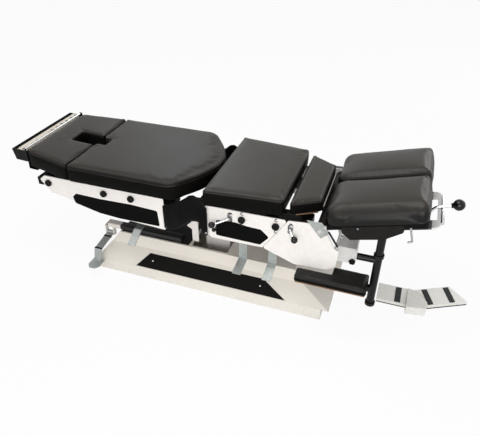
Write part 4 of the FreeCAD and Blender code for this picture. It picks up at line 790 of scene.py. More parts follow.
def bench_pad(outline, radii, height, roll, seam_drop, groove, rise, pull, pitch):
    """The pad on the bench. Above its shoulder, at height z of H, an edge with roll radius r stands in by
    r * (1 - sqrt(1 - ((z - (H - r)) / r)^2)). The groove and the foot's tuck are added to that."""
    outline, roll = np.asarray(outline, float), np.asarray(roll, float)
    levels, valley = profile_levels(height, roll, seam_drop, groove)
    arc_steps, run_steps = ring_steps(outline, radii)
    rings = []
    for z, dip in zip(levels, valley):
        climb = np.clip((z - (height - roll)) / roll, 0.0, 0.995)
        over = roll * (1 - np.sqrt(1 - climb ** 2))
        tuck = pull * np.exp(-z / 0.012) + 0.0035 * (z < 0.001)
        inset = over + tuck + dip
        corner = np.maximum(radii - (inset + np.roll(inset, 1)) / 2, np.minimum(radii, 0.006))
        ring = rounded_ring(shifted(outline, inset), corner, arc_steps, run_steps)
        rings.append(np.column_stack([ring, np.full(len(ring), z)]))
    grid = np.stack(rings)
    rows, cols = grid.shape[:2]
    spots, away, cap = filled(grid[-1, :, :2], pitch)
    dome = rise * (1 - (1 - np.clip(away / DOME_REACH, 0, 1)) ** 2)
    top = np.column_stack([spots, grid[-1, 0, 2] + dome])
    under, _, foot = filled(grid[0, :, :2], pitch * 3)
    under = np.column_stack([under, np.zeros(len(under))])
    points = np.vstack([grid.reshape(-1, 3), top, under])
    offset, shift = (rows - 1) * cols, rows * cols + len(top) - cols
    faces = grid_faces(rows, cols, wrap_cols=True).tolist()
    faces += [tuple(offset + k for k in face) for face in cap]
    faces += [tuple(k if k < cols else shift + k for k in face[::-1]) for face in foot]
    return points, faces


# %% [markdown]
# A real cover is never even: it puckers where a thread pulls, waves where foam is soft and creases
# at corners. These are added after the cloth has settled, as small moves along the normals.

# %% One maker for all pads
CREASE_WIDTH, PUCKER_REACH, PUCKER_PITCH = 0.003, 0.012, 0.017
FOOT_HEIGHT = 0.005


def bell(value, width):
    """exp(-(value/width)^2)"""
    return np.exp(-(value / width) ** 2)


def wander(along, seed, pitch):
    """Uneven ripple from three waves whose lengths don't divide each other, from -1 to 1."""
    k = 2 * np.pi / pitch
    return (np.sin(k * along + seed) + 0.7 * np.sin(1.73 * k * along + 2.1 * seed)
            + 0.5 * np.sin(0.41 * k * along + 3.7 * seed)) / 2.2


def stuffed(piece, seam, cap, shrink, pressure=4.0, frames=20):
    """Air pressure under a cloth skin. The foot and the sewn line stay, and no point moves beyond the cap."""
    mesh = piece.data
    rest = coordinates(mesh)
    held = (rest[:, 2] < FOOT_HEIGHT) | (np.abs(rest[:, 2] - seam) < 0.0008)
    start = rest - normals(mesh) * (shrink * ~held)[:, None]
    set_coordinates(mesh, start)
    group = piece.vertex_groups.new(name="sewn")
    group.add(np.flatnonzero(held).tolist(), 1.0, "REPLACE")
    cloth = piece.modifiers.new("stuffing", "CLOTH")
    air = cloth.settings
    air.use_pressure, air.uniform_pressure_force, air.quality = True, pressure, 4
    air.effector_weights.gravity = 0.0
    air.vertex_group_mass = "sewn"
    cloth.point_cache.frame_start, cloth.point_cache.frame_end = 1, frames
    for step in range(1, frames + 1):
        bpy.context.scene.frame_set(step)
    blown = piece.evaluated_get(bpy.context.evaluated_depsgraph_get())
    move = coordinates(blown.data) - start
    length = np.linalg.norm(move, axis=1, keepdims=True)
    piece.modifiers.clear()
    set_coordinates(mesh, start + move * np.minimum(1.0, cap / np.maximum(length, 1e-9)))
    print(piece.name, "verts", len(rest), "mean puff mm", round(float(length.mean()) * 1000, 2))
    bpy.context.scene.frame_set(1)


def rumpled(piece, seam, pucker, slack, seed, creases=()):
    """The cover's unevenness: puckers that run out from the sewn line, slow waves, and single creases given
    as (x, y, direction x, direction y, length, depth)."""
    mesh = piece.data
    p, out = coordinates(mesh), normals(mesh)
    along = p[:, 0] + 0.83 * p[:, 1]
    off = np.abs(p[:, 2] - seam)
    uneven = 0.5 + 0.5 * wander(along, seed + 1.7, 0.31)
    sink = pucker * uneven * wander(along, seed, PUCKER_PITCH) * bell(off, PUCKER_REACH)
    slow = wander(p[:, 0] + 0.35 * p[:, 1], seed, 0.21)
    sink += slack * slow * wander(p[:, 1] - 0.2 * p[:, 0], seed + 2, 0.27)
    for x, y, dx, dy, length, depth in creases:
        run = (p[:, 0] - x) * dx + (p[:, 1] - y) * dy
        side = -(p[:, 0] - x) * dy + (p[:, 1] - y) * dx
        inside_run = np.clip(run / length, 0, 1) * np.clip(1 - run / length, 0, 1) * 4
        bend = side - 0.004 * np.sin(run / length * 5.0)
        fold = bell(bend, CREASE_WIDTH) - 0.5 * bell(bend - 0.006, 0.004)
        sink += depth * inside_run * fold * (out[:, 2] > 0.6)
    set_coordinates(mesh, p - out * sink[:, None])


def upholster(name, node, body, outline, radii, low, height, roll, seed, place=None, seam_drop=0.017,
              rise=0.002, pull=0.004, groove=0.0016, cap=0.0035, shrink=0.0020, pucker=0.0005, slack=0.0005,
              creases=(), slot="vinyl", skin="vinyl", pitch=0.011):
    """A whole pad: bench form, air, finer skin, unevenness, one finish above the sewn line and below it a
    darker copy, painted shade.
    """
    roll = np.broadcast_to(roll, len(outline)).astype(float)
    radii = np.asarray(radii, float)
    points, faces = bench_pad(outline, radii, height, roll, seam_drop, groove, rise, pull, pitch)
    piece = make_piece(name, points, faces, None, slot, skin)
    seam = height - seam_drop
    stuffed(piece, seam, cap, shrink)
    modified(piece, "SUBSURF", levels=1, render_levels=1)
    rumpled(piece, seam, pucker, slack, seed, creases)
    mesh = piece.data
    mesh.polygons.foreach_set("use_smooth", np.ones(len(mesh.polygons), bool))
    dress(piece, skin)
    # Painted shade: the faces below the sewn line take the darker copy of the vinyl.
    mesh.materials.append(FINISH["vinyl_painted_shade"])
    painted_shade_faces = read(mesh.polygons, "center")[:, 2] < seam
    mesh.polygons.foreach_set("material_index", painted_shade_faces.astype(np.int32))
    spots = coordinates(mesh) + [0.0, 0.0, low]
    set_coordinates(mesh, place(spots) if place else spots)
    as_pad(piece, body, node)
    return piece


def as_pad(piece, body, node):
    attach(piece, body)
    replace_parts(piece, node)


def mirrored(piece, name, body, node):
    """The same pad on the other side of the middle plane, with its faces turned back outwards."""
    mesh = piece.data.copy()
    mesh.name = name
    mesh.transform(Matrix.Diagonal((1.0, -1.0, 1.0, 1.0)))
    mesh.flip_normals()
    twin = added(name, mesh)
    as_pad(twin, body, node)


# %% [markdown]
# ## The six section pads
# The ankle and pelvic pads share a breathing opening, the thoracic and cervical pads follow, and two
# loaf-shaped pads hold the head. The section pads are crisp boxes with a tight rim; only the rounded
# nose over the waist has a fuller roll.

# %% Section pads
ANKLE_HINGE = np.array([-0.655, 0.0, 0.5505])
ANKLE_LIFT = np.radians(3.5)


def ankle_place(points):
    """Turns points about the ankle section's hinge: x' = x cos a + z sin a, z' = -x sin a + z cos a."""
    points = np.asarray(points, float)
    off, c, s = points - ANKLE_HINGE, np.cos(ANKLE_LIFT), np.sin(ANKLE_LIFT)
    return ANKLE_HINGE + np.stack([off[..., 0] * c + off[..., 2] * s, off[..., 1],
                                   -off[..., 0] * s + off[..., 2] * c], -1)


def doubled(half):
    """Adds the mirror images of an outline's near half, so that it runs on round the far half."""
    half = np.asarray(half, float)
    return np.vstack([half, half[::-1] * [1.0, -1.0]])


SEAT_LOW, SEAT_HEIGHT = 0.5505, 0.0885
MOUTH, THROAT, NOTCH = 0.050, 0.032, -0.780
ankle = [(-0.912, -0.243), (-0.655, -0.290), (-0.655, -MOUTH), (NOTCH, -MOUTH)]
ankle_radii = [0.026, 0.013, 0.011, 0.009]
upholster("ankle_pad", "ankle_cushion", "caudal", doubled(ankle), ankle_radii + ankle_radii[::-1], SEAT_LOW,
          SEAT_HEIGHT, 0.0075, 1.3, place=ankle_place,
          creases=[(-0.79, -0.055, -0.8, -0.6, 0.075, 0.0016), (-0.79, 0.055, -0.75, 0.66, 0.06, 0.0013),
                   (-0.80, -0.02, -1.0, 0.05, 0.05, 0.0010)])
pelvic = [(-0.650, -0.292), (-0.106, -0.292), (-0.013, -0.159), (0.036, -0.047), (0.036, 0.047),
          (-0.013, 0.159), (-0.106, 0.292), (-0.650, 0.292), (-0.650, 0.060), (-0.636, THROAT),
          (-0.594, THROAT), (-0.594, -THROAT), (-0.636, -THROAT), (-0.650, -0.060)]
nose_radii, slot_radii = [0.013, 0.090, 0.300, 0.130], [0.010, 0.010, 0.008]
pelvic_radii = nose_radii + nose_radii[::-1] + slot_radii + slot_radii[::-1]
pelvic_roll = [0.009, 0.013, 0.014, 0.014, 0.014, 0.013, 0.009] + [0.0075] * 7
upholster("pelvic_pad", "pelvic_cushion", "pelvic", pelvic, pelvic_radii, SEAT_LOW, SEAT_HEIGHT, pelvic_roll,
          2.1, seam_drop=0.021, slack=0.0007,
          creases=[(-0.585, -0.036, 0.9, -0.43, 0.06, 0.0010), (-0.585, 0.036, 0.8, 0.6, 0.05, 0.0010)])
# The thoracic and cervical pads take the lighter vinyl copy, a painted sheen.
thoracic = [(0.043, -0.288), (0.403, -0.253), (0.403, 0.253), (0.043, 0.288)]
upholster("thoracic_pad", "thoracic_cushion", "thoracic", thoracic, [0.014] * 4, 0.5555, 0.0835,
          [0.009, 0.009, 0.008, 0.010], 3.4, seam_drop=0.015, pucker=0.0008, rise=0.003, slack=0.0007,
          skin="vinyl_painted_light")
cervical = [(0.422, -0.245), (0.554, -0.167), (0.554, 0.167), (0.422, 0.245)]
upholster("cervical_pad", "cervical_cushion", "cervical", cervical, [0.014] * 4, 0.560, 0.062,
          [0.010, 0.010, 0.009, 0.008], 4.2, seam_drop=0.013, pucker=0.0012, rise=0.003, pitch=0.009,
          skin="vinyl_painted_light",
          creases=[(0.470, -0.212, 0.3, 0.95, 0.05, 0.0012), (0.505, -0.190, -0.1, 1.0, 0.04, 0.0011)])

# %% [markdown]
# The head pads are loaves: the foam has a big roll along the outer side and at the neck, and a tight
# one at the far end, where a separate end panel closes the cover like a lid.

# %% Head pads
HEAD_LOW = 0.030


def head_bench(points):
    """From the head section's own plane (along, across, up) to the table's frame."""
    return head_place(points[:, 0], points[:, 1], points[:, 2])


loaf = [(0.027, -0.285), (0.441, -0.285), (0.441, -0.003), (0.027, -0.003)]
# The head pads take the lighter vinyl copy, a painted sheen.
head_near = upholster("head_pad_near", "head_cushions", "head", loaf, [0.058, 0.034, 0.026, 0.058], HEAD_LOW,
                      0.086, [0.052, 0.020, 0.032, 0.048], 5.7, place=head_bench, seam_drop=0.078, rise=0.012,
                      pull=0.006, skin="vinyl_painted_light", groove=0.0012, pucker=0.0006, slack=0.0008, cap=0.005,
                      shrink=0.003)
mirrored(head_near, "head_pad_far", "head", "head_cushions")

# %% [markdown]
# An arm pad is thin and L-shaped: a wide part under the elbow and a narrow part past the post. Its
# cover is pulled tight over a plywood board, so it puffs less than the others.

# %% Arm pads
ARM_LOW, ARM_FILL = 0.284, 0.8
arm = [(0.483, -0.331), (0.801, -0.331), (0.801, -0.208), (0.640, -0.208), (0.640, -0.262), (0.483, -0.262)]
arm_near = upholster("arm_pad_near", "armrest_pad_near", "arm_near", arm, [0.012] * 4 + [0.008, 0.012],
                     ARM_LOW, 0.030, 0.010, 6.4, seam_drop=0.014, rise=0.0015, pull=0.002, groove=0.0010,
                     cap=0.0025, shrink=0.0015, slot="arm_vinyl", skin="arm_vinyl", pitch=0.008)
mirrored(arm_near, "arm_pad_far", "arm_far", "armrest_pad_far")
print("pads done")

# %% [markdown]
# ## Waist boots
# A fabric boot on each side covers the pinch point where the foot end flexes. It is one panel, cut
# with a domed top and an arch below, snapped to both plates. As a grid, one parameter runs along the
# table and the other from the lower edge to the upper one, and soft vertical folds ripple between.

# %% Boots
BOOT_LOW = np.array([(-0.165, 0.374), (-0.149, 0.371), (-0.120, 0.377), (-0.086, 0.397), (-0.056, 0.420),
                     (-0.044, 0.434), (-0.027, 0.446), (0.000, 0.451), (0.016, 0.447), (0.023, 0.438),
                     (0.026, 0.405), (0.038, 0.388), (0.055, 0.382)])
BOOT_HIGH = np.array([(-0.165, 0.499), (-0.139, 0.507), (-0.107, 0.524), (-0.070, 0.546), (-0.044, 0.566),
                      (-0.025, 0.583), (-0.004, 0.588), (0.010, 0.581), (0.024, 0.564), (0.036, 0.546),
                      (0.055, 0.530)])
BOOT_FACE, BOOT_THICK, BOOT_SWELL = 0.2660, 0.0014, 0.020
HEM_RADIUS = 0.0016


def boot_grid(side, columns=110, rows=90):
    """x runs evenly along s, z = low(x) + t * (high(x) - low(x)), and the panel stands out by
    (swell + soft folds) * sin(pi t)^0.55 * sin(pi s)^0.5."""
    s, t = np.linspace(0, 1, columns)[None, :], np.linspace(0, 1, rows)[:, None]
    x = BOOT_LOW[0, 0] + s * (BOOT_LOW[-1, 0] - BOOT_LOW[0, 0])
    low = np.interp(x, BOOT_LOW[:, 0], BOOT_LOW[:, 1])
    high = np.interp(x, BOOT_HIGH[:, 0], BOOT_HIGH[:, 1])
    z = low + t * (high - low)
    up, along = np.clip(t, 0.001, 0.999), np.clip(s, 0.001, 0.999)
    swell = np.sin(np.pi * up) ** 0.55 * np.sin(np.pi * along) ** 0.5
    broad, fine = np.sin(2 * np.pi * s * 3.1 + 1.5 * t), np.sin(2 * np.pi * s * 11.7 - 2.4 * t + 0.8)
    out = BOOT_SWELL * swell + (0.0012 * broad + 0.0004 * fine) * swell
    points = np.stack([x + 0 * t, side * (BOOT_FACE + out), z], -1)
    return points, grid_faces(rows, columns)


def grid_area(points):
    """Sum of the grid's cell areas, from the cross products of each cell's diagonals."""
    one, two = points[1:, 1:] - points[:-1, :-1], points[1:, :-1] - points[:-1, 1:]
    return float(0.5 * np.linalg.norm(np.cross(one, two), axis=-1).sum())


def edge_loop(points):
    """The grid's outline as one closed path."""
    return np.vstack([points[0, :-1], points[:-1, -1], points[-1, :0:-1], points[:0:-1, 0]])


for place, side in SIDES:
    panel, panel_faces = boot_grid(side)
    boot = make_piece("boot_" + place, panel, panel_faces, None, "boot_fabric", "boot_fabric")
    modified(boot, "SOLIDIFY", thickness=BOOT_THICK, offset=0.0)
    boot.data.polygons.foreach_set("use_smooth", np.ones(len(boot.data.polygons), bool))
    hem_path = even_steps(edge_loop(panel), 0.003)[:-1]
    hem, hem_faces = tube(hem_path, HEM_RADIUS, (0.0, 1.0, 0.0), 8, closed=True)
    binding = make_piece("boot_hem_" + place, hem, hem_faces, None, "boot_fabric", "lever_black")
    for soft in (boot, binding):
        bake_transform(soft)
    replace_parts(boot, "waist_boots")

# %% [markdown]
# Press studs hold the boot to the plates: two on the foot end's plate, two on the lift's plate.

# %% Press studs
STUD = np.array([(0.0, -0.0005), (0.0062, -0.0004), (0.0064, 0.0006), (0.0052, 0.0022), (0.0030, 0.0032),
                 (0.0, 0.0035)])
STUD_FACE = 0.2672


def fasteners(name, profile, places, body, look):
    """Small turned heads of one profile, each at its place and facing its own way, as one piece."""
    heads = joined([turned(profile, spot, way, 20) for spot, way in places])
    return make_piece(name, *heads, body, "rod_chrome", look)


for name, spots, body in (("boot_studs_foot_end", [(-0.150, 0.488), (-0.152, 0.382)], "caudal"),
                          ("boot_studs_waist", [(0.045, 0.508), (0.047, 0.397)], "lift")):
    places = [((x, side * STUD_FACE, z), (0.0, side, 0.0)) for _, side in SIDES for x, z in spots]
    fasteners(name, STUD, places, body, "screw_steel")
    print(name, len(places))

# %% [markdown]
# ## Knobs and ball levers
# The five tension knobs are moulded plastic with finger flutes: one turned profile whose radius dips
# at each flute. The levers are plated rods with pressed-on phenolic balls.

# %% Fluted knobs
CAUDAL_FACE, THORACIC_FACE, KNOB_Z = 0.265, 0.257, 0.503
KNOB = np.array([(0.0, 0.0004), (0.0150, 0.0004), (0.0170, 0.0016), (0.0170, 0.0100), (0.0160, 0.0125),
                 (0.0140, 0.0138), (0.0105, 0.0138), (0.0098, 0.0130), (0.0060, 0.0128), (0.0, 0.0128)])
NEAR_WAY = (0.0, -1.0, 0.0)
for node, body, x, face in (("caudal_knob_end", "knob_end", -0.791, CAUDAL_FACE),
                            ("caudal_knob_middle", "knob_middle", -0.477, CAUDAL_FACE),
                            ("caudal_knob_waist", "knob_waist", -0.330, CAUDAL_FACE),
                            ("tension_knob", "knob_tension", 0.220, THORACIC_FACE),
                            ("drop_knob", "knob_drop", 0.376, THORACIC_FACE)):
    p, f = turned(KNOB, (x, -face, KNOB_Z), NEAR_WAY, 96, flutes=16, depth=0.055)
    knob = make_piece(node + "_fluted", p, f, body, SLOT_OF[node], "knob_plastic")
    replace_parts(knob, node)
print("knob diameter m", 2 * KNOB[:, 0].max())

# %% [markdown]
# A ball lever is bought in parts: a plated rod, bent cold, and a ball pressed or screwed on its end.
# So it is built of parts here too: a tube along the bent route, a turned hub and a turned ball.

# %% Rods, balls and levers
def rod_piece(name, points, radius, body, slot, look, reference=(0.0, 0.0, 1.0), rounding=0.3, sides=18):
    """A bent rod through the points with eased corners."""
    p, f = tube(even_steps(smooth_route(points, rounding), 0.003), radius, reference, sides)
    return make_piece(name, p, f, body, slot, look)


def ball_piece(name, centre, radius, axis, body, slot):
    """A ball with a collar where its rod goes in: one profile, first the collar and then the ball."""
    turn = np.linspace(0, np.pi, 26)
    ball = np.column_stack([radius * np.sin(turn), -radius * np.cos(turn)])
    collar = [(0.0, -radius * 1.22), (radius * 0.42, -radius * 1.22), (radius * 0.45, -radius * 1.12),
              (radius * 0.45, -radius * 0.93)]
    body_rows = ball[ball[:, 1] > -radius * 0.88]
    p, f = turned(np.vstack([collar, body_rows]), centre, axis, 32)
    return make_piece(name, p, f, body, slot, "ball_plastic")


def drum(radius, length):
    """Profile of a short round bar with its two edges broken by 1 mm."""
    return [(0.0, 0.0), (radius - 0.001, 0.0), (radius, 0.001), (radius, length - 0.001),
            (radius - 0.001, length), (0.0, length)]


BALL_RADIUS = 0.015
SLOT_DEEP, SLOT_OUT, HUB_Y = -0.2420, -0.2675, -0.2393


def ball_lever_pieces(node, body, slot_x, slot_z, ball):
    """A hub behind the plate, and a plated rod out through the slot and over to the ball."""
    ball = np.array(ball)
    elbow = np.array([slot_x, SLOT_OUT, slot_z])
    way = (ball - elbow) / np.linalg.norm(ball - elbow)
    route = [(slot_x, SLOT_DEEP, slot_z), elbow, ball - way * BALL_RADIUS * 0.9]
    arm = rod_piece(node + "_rod", route, 0.0048, body, SLOT_OF[node], "rod_chrome", rounding=0.28)
    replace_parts(arm, node)
    hub, faces = turned(drum(0.0148, 0.0115), (slot_x, HUB_Y, slot_z), NEAR_WAY, 40)
    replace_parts(make_piece(node + "_hub", hub, faces, body, SLOT_OF[node], "pin_steel"), node)
    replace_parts(ball_piece(node + "_ball", ball, BALL_RADIUS, way, body, SLOT_OF[node]), node)
    print(node, "arm m", round(float(np.linalg.norm(ball - elbow)), 4))


ball_lever_pieces("tension_lever", "tension_ball", 0.163, 0.500, (0.090, -0.297, 0.470))
ball_lever_pieces("head_lock_lever", "head_lock_ball", 0.441, 0.503, (0.466, -0.280, 0.466))
rod_piece("stop_ball_stem", [(0.094, -0.250, 0.436), (0.094, -0.272, 0.434)], 0.004, "lift", "rod_chrome",
          "rod_chrome")
ball_piece("stop_ball", (0.094, -0.281, 0.4335), 0.0100, NEAR_WAY, "lift", "knob_plastic")

# %% [markdown]
# The head release lever runs under the head section and out past the handle. Its places are given
# in the head section's own tilted plane, so that the numbers stay those of a drawing.

# %% Head release lever
RELEASE, RELEASE_SLOT = "head_release_lever", SLOT_OF["head_release_lever"]
RELEASE_ALONG, RELEASE_UP = [0.322, 0.409, 0.444, 0.520], [-0.0915, -0.0915, -0.0575, -0.0526]
route = head_place(np.array(RELEASE_ALONG), 0.0, np.array(RELEASE_UP))
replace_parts(rod_piece("head_release_rod", route, 0.0060, "head_release", RELEASE_SLOT, "rod_chrome",
                      reference=(0.0, 1.0, 0.0), rounding=0.25), RELEASE)
release_end = head_place(0.538, 0.0, -0.0515)
release_way = release_end - head_place(RELEASE_ALONG[2], 0.0, RELEASE_UP[2])
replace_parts(ball_piece("head_release_ball", release_end, 0.025, release_way, "head_release", RELEASE_SLOT),
            RELEASE)
BARREL = [(0.0, 0.0), (0.0105, 0.0), (0.0108, 0.001), (0.0108, 0.0185), (0.0105, 0.0195), (0.0, 0.0195)]
barrel, barrel_faces = turned(BARREL, head_place(0.334, 0.00975, RELEASE_UP[0]), NEAR_WAY, 32)
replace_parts(make_piece("head_release_barrel", barrel, barrel_faces, "head_release", RELEASE_SLOT,
                       "pin_steel"), RELEASE)
print("release ball", np.round(release_end, 3).tolist())

# %% [markdown]
# A clamping knob has lobes so that fingers can pull it tight. Its outline is a circle that dips
# between the lobes, and the dip fades out on the flat face.

# %% Lobed knob
def lobed(origin, axis, radius, lobes, depth, height):
    """A clamping knob: radius * (1 - depth + depth * |cos(lobes a / 2 + 0.6)|^0.55) on a rounded profile."""
    rows = np.array([(0.0, 0.0), (0.92, 0.0), (1.0, 0.12), (1.0, 0.80), (0.93, 0.94), (0.80, 1.0),
                     (0.35, 1.0), (0.30, 1.18), (0.0, 1.20)])
    sides = 120
    p, f = turned(rows * [1.0, height], origin, axis, sides)
    angle = np.linspace(0, 2 * np.pi, sides, endpoint=False)
    wave = 1.0 - depth + depth * np.abs(np.cos(lobes * angle / 2 + 0.6)) ** 0.55
    centre = np.asarray(origin) + rows[:, 1][:, None, None] * height * np.asarray(axis)
    share = np.where(rows[:, 0] > 0.5, 1.0, 0.0)[:, None]
    return centre + (p - centre) * (radius * (1 + share * (wave[None] - 1)))[:, :, None], f


p, f = lobed((0.712, -0.1504, 0.316), np.array(NEAR_WAY), 0.0150, 5, 0.32, 0.0115)
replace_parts(make_piece("lobed_knob_moulded", p, f, "lobe", SLOT_OF["lobed_knob"], "knob_plastic"),
            "lobed_knob")
print("lobed knob width m", round(float(np.ptp(p[..., 0])), 4))

# %% [markdown]
# Two bent wires hang down through the head board: the locking lever, and a fixed hook at the neck
# that is kept short, so that it clears the end bracket when the head section goes down.

# %% Bent wires at the head
WIRE_Y = -0.200


def head_wire(name, along, up, radius, body):
    """A wire in an upright plane of the head section: its places along the section and up from its axis."""
    route = head_place(np.array(along), WIRE_Y, np.array(up))
    return rod_piece(name, route, radius, body, SLOT_OF["wire_lever"], "wire_zinc",
                     reference=(0.0, 1.0, 0.0), rounding=0.25)


wire = head_wire("wire_lever_bent", [0.358, 0.358, 0.340], [0.018, -0.0985, -0.1015], 0.0043, "wire")
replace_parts(wire, "wire_lever")
head_wire("neck_wire", [0.066, 0.067, 0.077], [0.012, -0.0680, -0.0700], 0.0040, "head")
print("bent wires at y", WIRE_Y)

# %% [markdown]
# ## The control cable
# A short black cable hangs from the hook plate down to the column's foot. It is a cord: one smooth
# line through the same points as the CAD part, with a round section.

# %% Control cable
CABLE_LENGTH, CABLE_WIDTH = 0.199, 0.005
CABLE = np.array([(-14.0, -96.0, 403.6), (-17.0, -110.0, 372.0), (-25.0, -117.0, 330.0),
                  (-40.0, -118.0, 290.0), (-56.0, -112.0, 250.0), (-62.0, -104.0, 216.0)]) / 1000.0
cable_line = bpy.data.curves.new("control_cable_line", "CURVE")
cable_line.dimensions = "3D"
cable_line.bevel_depth = CABLE_WIDTH / 2
cable_line.bevel_resolution = 4
cable_line.resolution_u = 16
cable_line.use_fill_caps = True
run = cable_line.splines.new("NURBS")
run.points.add(len(CABLE) - 1)
run.points.foreach_set("co", np.column_stack([CABLE, np.ones(len(CABLE))]).ravel())
run.order_u = 3
run.use_endpoint_u = True
cable = added("control_cable_sheath", cable_line)
cable_line.materials.append(FINISH["cable_rubber"])
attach(cable, "lift")
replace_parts(cable, "control_cable")
print("cable ends mm", (CABLE[[0, -1]] * 1000).tolist())

# %% [markdown]
# ## Paper, keys and small fittings
# Table paper comes off a roll in the black trough, over the bright tear bar. The torn end is a thin
# sheet with a saw edge; the roll's ends show their windings.

# %% Paper roll and torn sheet
ROLL_X, ROLL_Z, ROLL_R, ROLL_HALF = -0.956, 0.604, 0.0268, 0.2328
CORE_R, WINDS, WIND_STEP = 0.0064, 22, 0.0006
PAPER_WIDTH, PAPER_REACH, PAPER_THICK = 0.452, 0.030, 0.0004
SHEET_START, SHEET_END = ROLL_X - 0.006, -0.9330
TOOTH_PITCH, DEEP, SHALLOW, DEEP_FROM = 0.042, 0.0125, 0.0030, -0.03
ends = np.column_stack([np.linspace(0.0075, ROLL_R, WINDS), ROLL_HALF - WIND_STEP * (np.arange(WINDS) % 2)])
bore = np.array([(CORE_R, -ROLL_HALF), (CORE_R, ROLL_HALF)])
roll_profile = np.vstack([bore[:1], ends * [1, -1], ends[::-1], bore[1:], bore[:1]])
p, f = turned(roll_profile, (ROLL_X, 0.0, ROLL_Z), (0.0, 1.0, 0.0), 64)
roll = make_piece("paper_roll_wound", ankle_place(p), f, "roll", SLOT_OF["paper_roll"], "paper")
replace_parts(roll, "paper_roll")


def torn_paper(columns=361, rows=22):
    """Sheet over the roll's crown towards the bar: x runs from the roll's top to a torn edge, a saw of
    42 mm pitch that is shallow on the near side and deeper beyond it. It sags a little between."""
    y = np.linspace(-PAPER_WIDTH / 2, PAPER_WIDTH / 2, columns)[None, :]
    t = np.linspace(0, 1, rows)[:, None]
    tooth = np.abs(2 * ((y / TOOTH_PITCH) % 1.0) - 1)
    tear = SHEET_END - np.where(y > DEEP_FROM, DEEP, SHALLOW) * tooth
    x = SHEET_START + t * (tear - ROLL_X + 0.006)
    z = ROLL_Z + ROLL_R + 0.0022 + 0.0012 * t - 0.0015 * np.sin(np.pi * t)
    z = z + 0.0006 * np.sin(y * 60 + 3 * t) * t
    points = np.stack(np.broadcast_arrays(x, y, z), -1)
    return points, grid_faces(rows, columns)


sheet, sheet_faces = torn_paper()
torn = make_piece("paper_torn_end", ankle_place(sheet), sheet_faces, None, "paper", "paper")
modified(torn, "SOLIDIFY", thickness=PAPER_THICK, offset=0.0)
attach(torn, "caudal")
print("torn sheet area m2", round(grid_area(sheet), 5))

# %% [markdown]
# The three foot keys have a ribbed rubber tread, so that a shoe finds them and doesn't slip. The
# housing's slope and its turn are those of the CAD part, and each tread takes the nearest key.

# %% Ribbed foot keys
TURN = np.radians(27.0)
RIGHT_HOUSING = np.array([1.086, -0.004])
LEFT_WIDTH, RIGHT_WIDTH, HOUSING_DEPTH = 0.141, 0.213, 0.095
KEY_START, KEY_END, KEY_HALF, KEY_RIM = 0.0055, 0.0895, 0.0135, 0.003


def key_ribs(name, body, corners, ribs=11):
    """A rubber tread over a sloping key: a bilinear patch whose height ripples along its length."""
    a, b, c, d = [np.array(q) for q in corners]
    s, t = np.linspace(0, 1, 25)[None, :, None], np.linspace(0, 1, ribs * 10 + 1)[:, None, None]
    flat = (1 - t) * ((1 - s) * a + s * b) + t * ((1 - s) * d + s * c)
    rim = np.clip(np.minimum(np.minimum(s, 1 - s) * 12, np.minimum(t, 1 - t) * 24), 0, 1)
    lift = (0.0006 + 0.0016 * (0.5 - 0.5 * np.cos(2 * np.pi * ribs * t)) ** 0.7) * rim
    top = flat + lift * [0.0, 0.0, 1.0]
    under = flat - [0.0, 0.0, 0.0008]
    points = np.vstack([top.reshape(-1, 3), under.reshape(-1, 3)])
    rows, cols = top.shape[:2]
    grid = np.arange(rows * cols).reshape(rows, cols, 1)
    loop = edge_loop(grid).ravel()
    after = np.roll(loop, -1)
    sides = np.column_stack([loop, after, after + rows * cols, loop + rows * cols])
    faces = np.vstack([grid_faces(rows, cols), grid_faces(rows, cols)[:, ::-1] + rows * cols, sides])
    return make_piece(name, points, faces, body, SLOT_OF["foot_key_lower"], "key_rubber")


def key_corners(centre, front_y, turned_housing=False):
    """The key's top corners on the housing's slope, turned with the right-hand housing if asked."""
    y = front_y + np.array([KEY_START, KEY_START, KEY_END, KEY_END]) + KEY_RIM * np.array([1, 1, -1, -1])
    x = centre + (KEY_HALF - 0.0015) * np.array([-1, 1, 1, -1])
    z = 0.020 + 0.022 * (y - front_y) / HOUSING_DEPTH + 0.003
    if turned_housing:
        c, s = np.cos(TURN), np.sin(TURN)
        x, y = RIGHT_HOUSING[0] + x * c - y * s, RIGHT_HOUSING[1] + x * s + y * c
    return np.column_stack([x, y, z])


KEY_PLACES = {"foot_key_lower": key_corners(0.850 + LEFT_WIDTH * 0.70, -0.027),
              "foot_key_raise": key_corners(RIGHT_WIDTH * 0.12, 0.0, True),
              "foot_key_stop": key_corners(RIGHT_WIDTH * 0.65, 0.0, True)}
for node, corners in KEY_PLACES.items():
    centre = coordinates(NODES[node].data).mean(0)
    nearest = min(KEY_PLACES.values(), key=lambda q: np.linalg.norm(q.mean(0) - centre))
    key_ribs(node + "_tread", node.replace("foot_key", "key"), nearest)
print("treads", len(KEY_PLACES))

# %% [markdown]
# Two domed screws hold the kick panel. A ray from the near side finds the sloping panel's surface
# and its normal, so a screw always sits flush, whatever the slope is.

# %% Kick panel screws
SCREW_RADIUS, SCREW_Z = 0.0055, 0.099
SCREW = np.array([(0.0, 0.55), (0.28, 0.55), (0.34, 0.74), (0.62, 0.66), (0.90, 0.35), (1.0, 0.0),
                  (1.0, -0.25), (0.0, -0.25)]) * SCREW_RADIUS


def on_surface(node, x, z, reach=0.6):
    """Where a ray from the near side along y first meets a CAD node, and the normal there."""
    body = NODES[node]
    hit, spot, way, _ = body.ray_cast(Vector((x, -reach, z)), Vector((0.0, 1.0, 0.0)))
    return (np.array(spot), np.array(way)) if hit else None


for k, x in enumerate((-0.286, 0.300)):
    hit = on_surface("kick_panels", x, SCREW_Z)
    if hit is not None:
        fasteners("kick_screw_%d" % k, SCREW, [hit], "base", "screw_steel")
        print("kick screw", np.round(hit[0], 3).tolist())

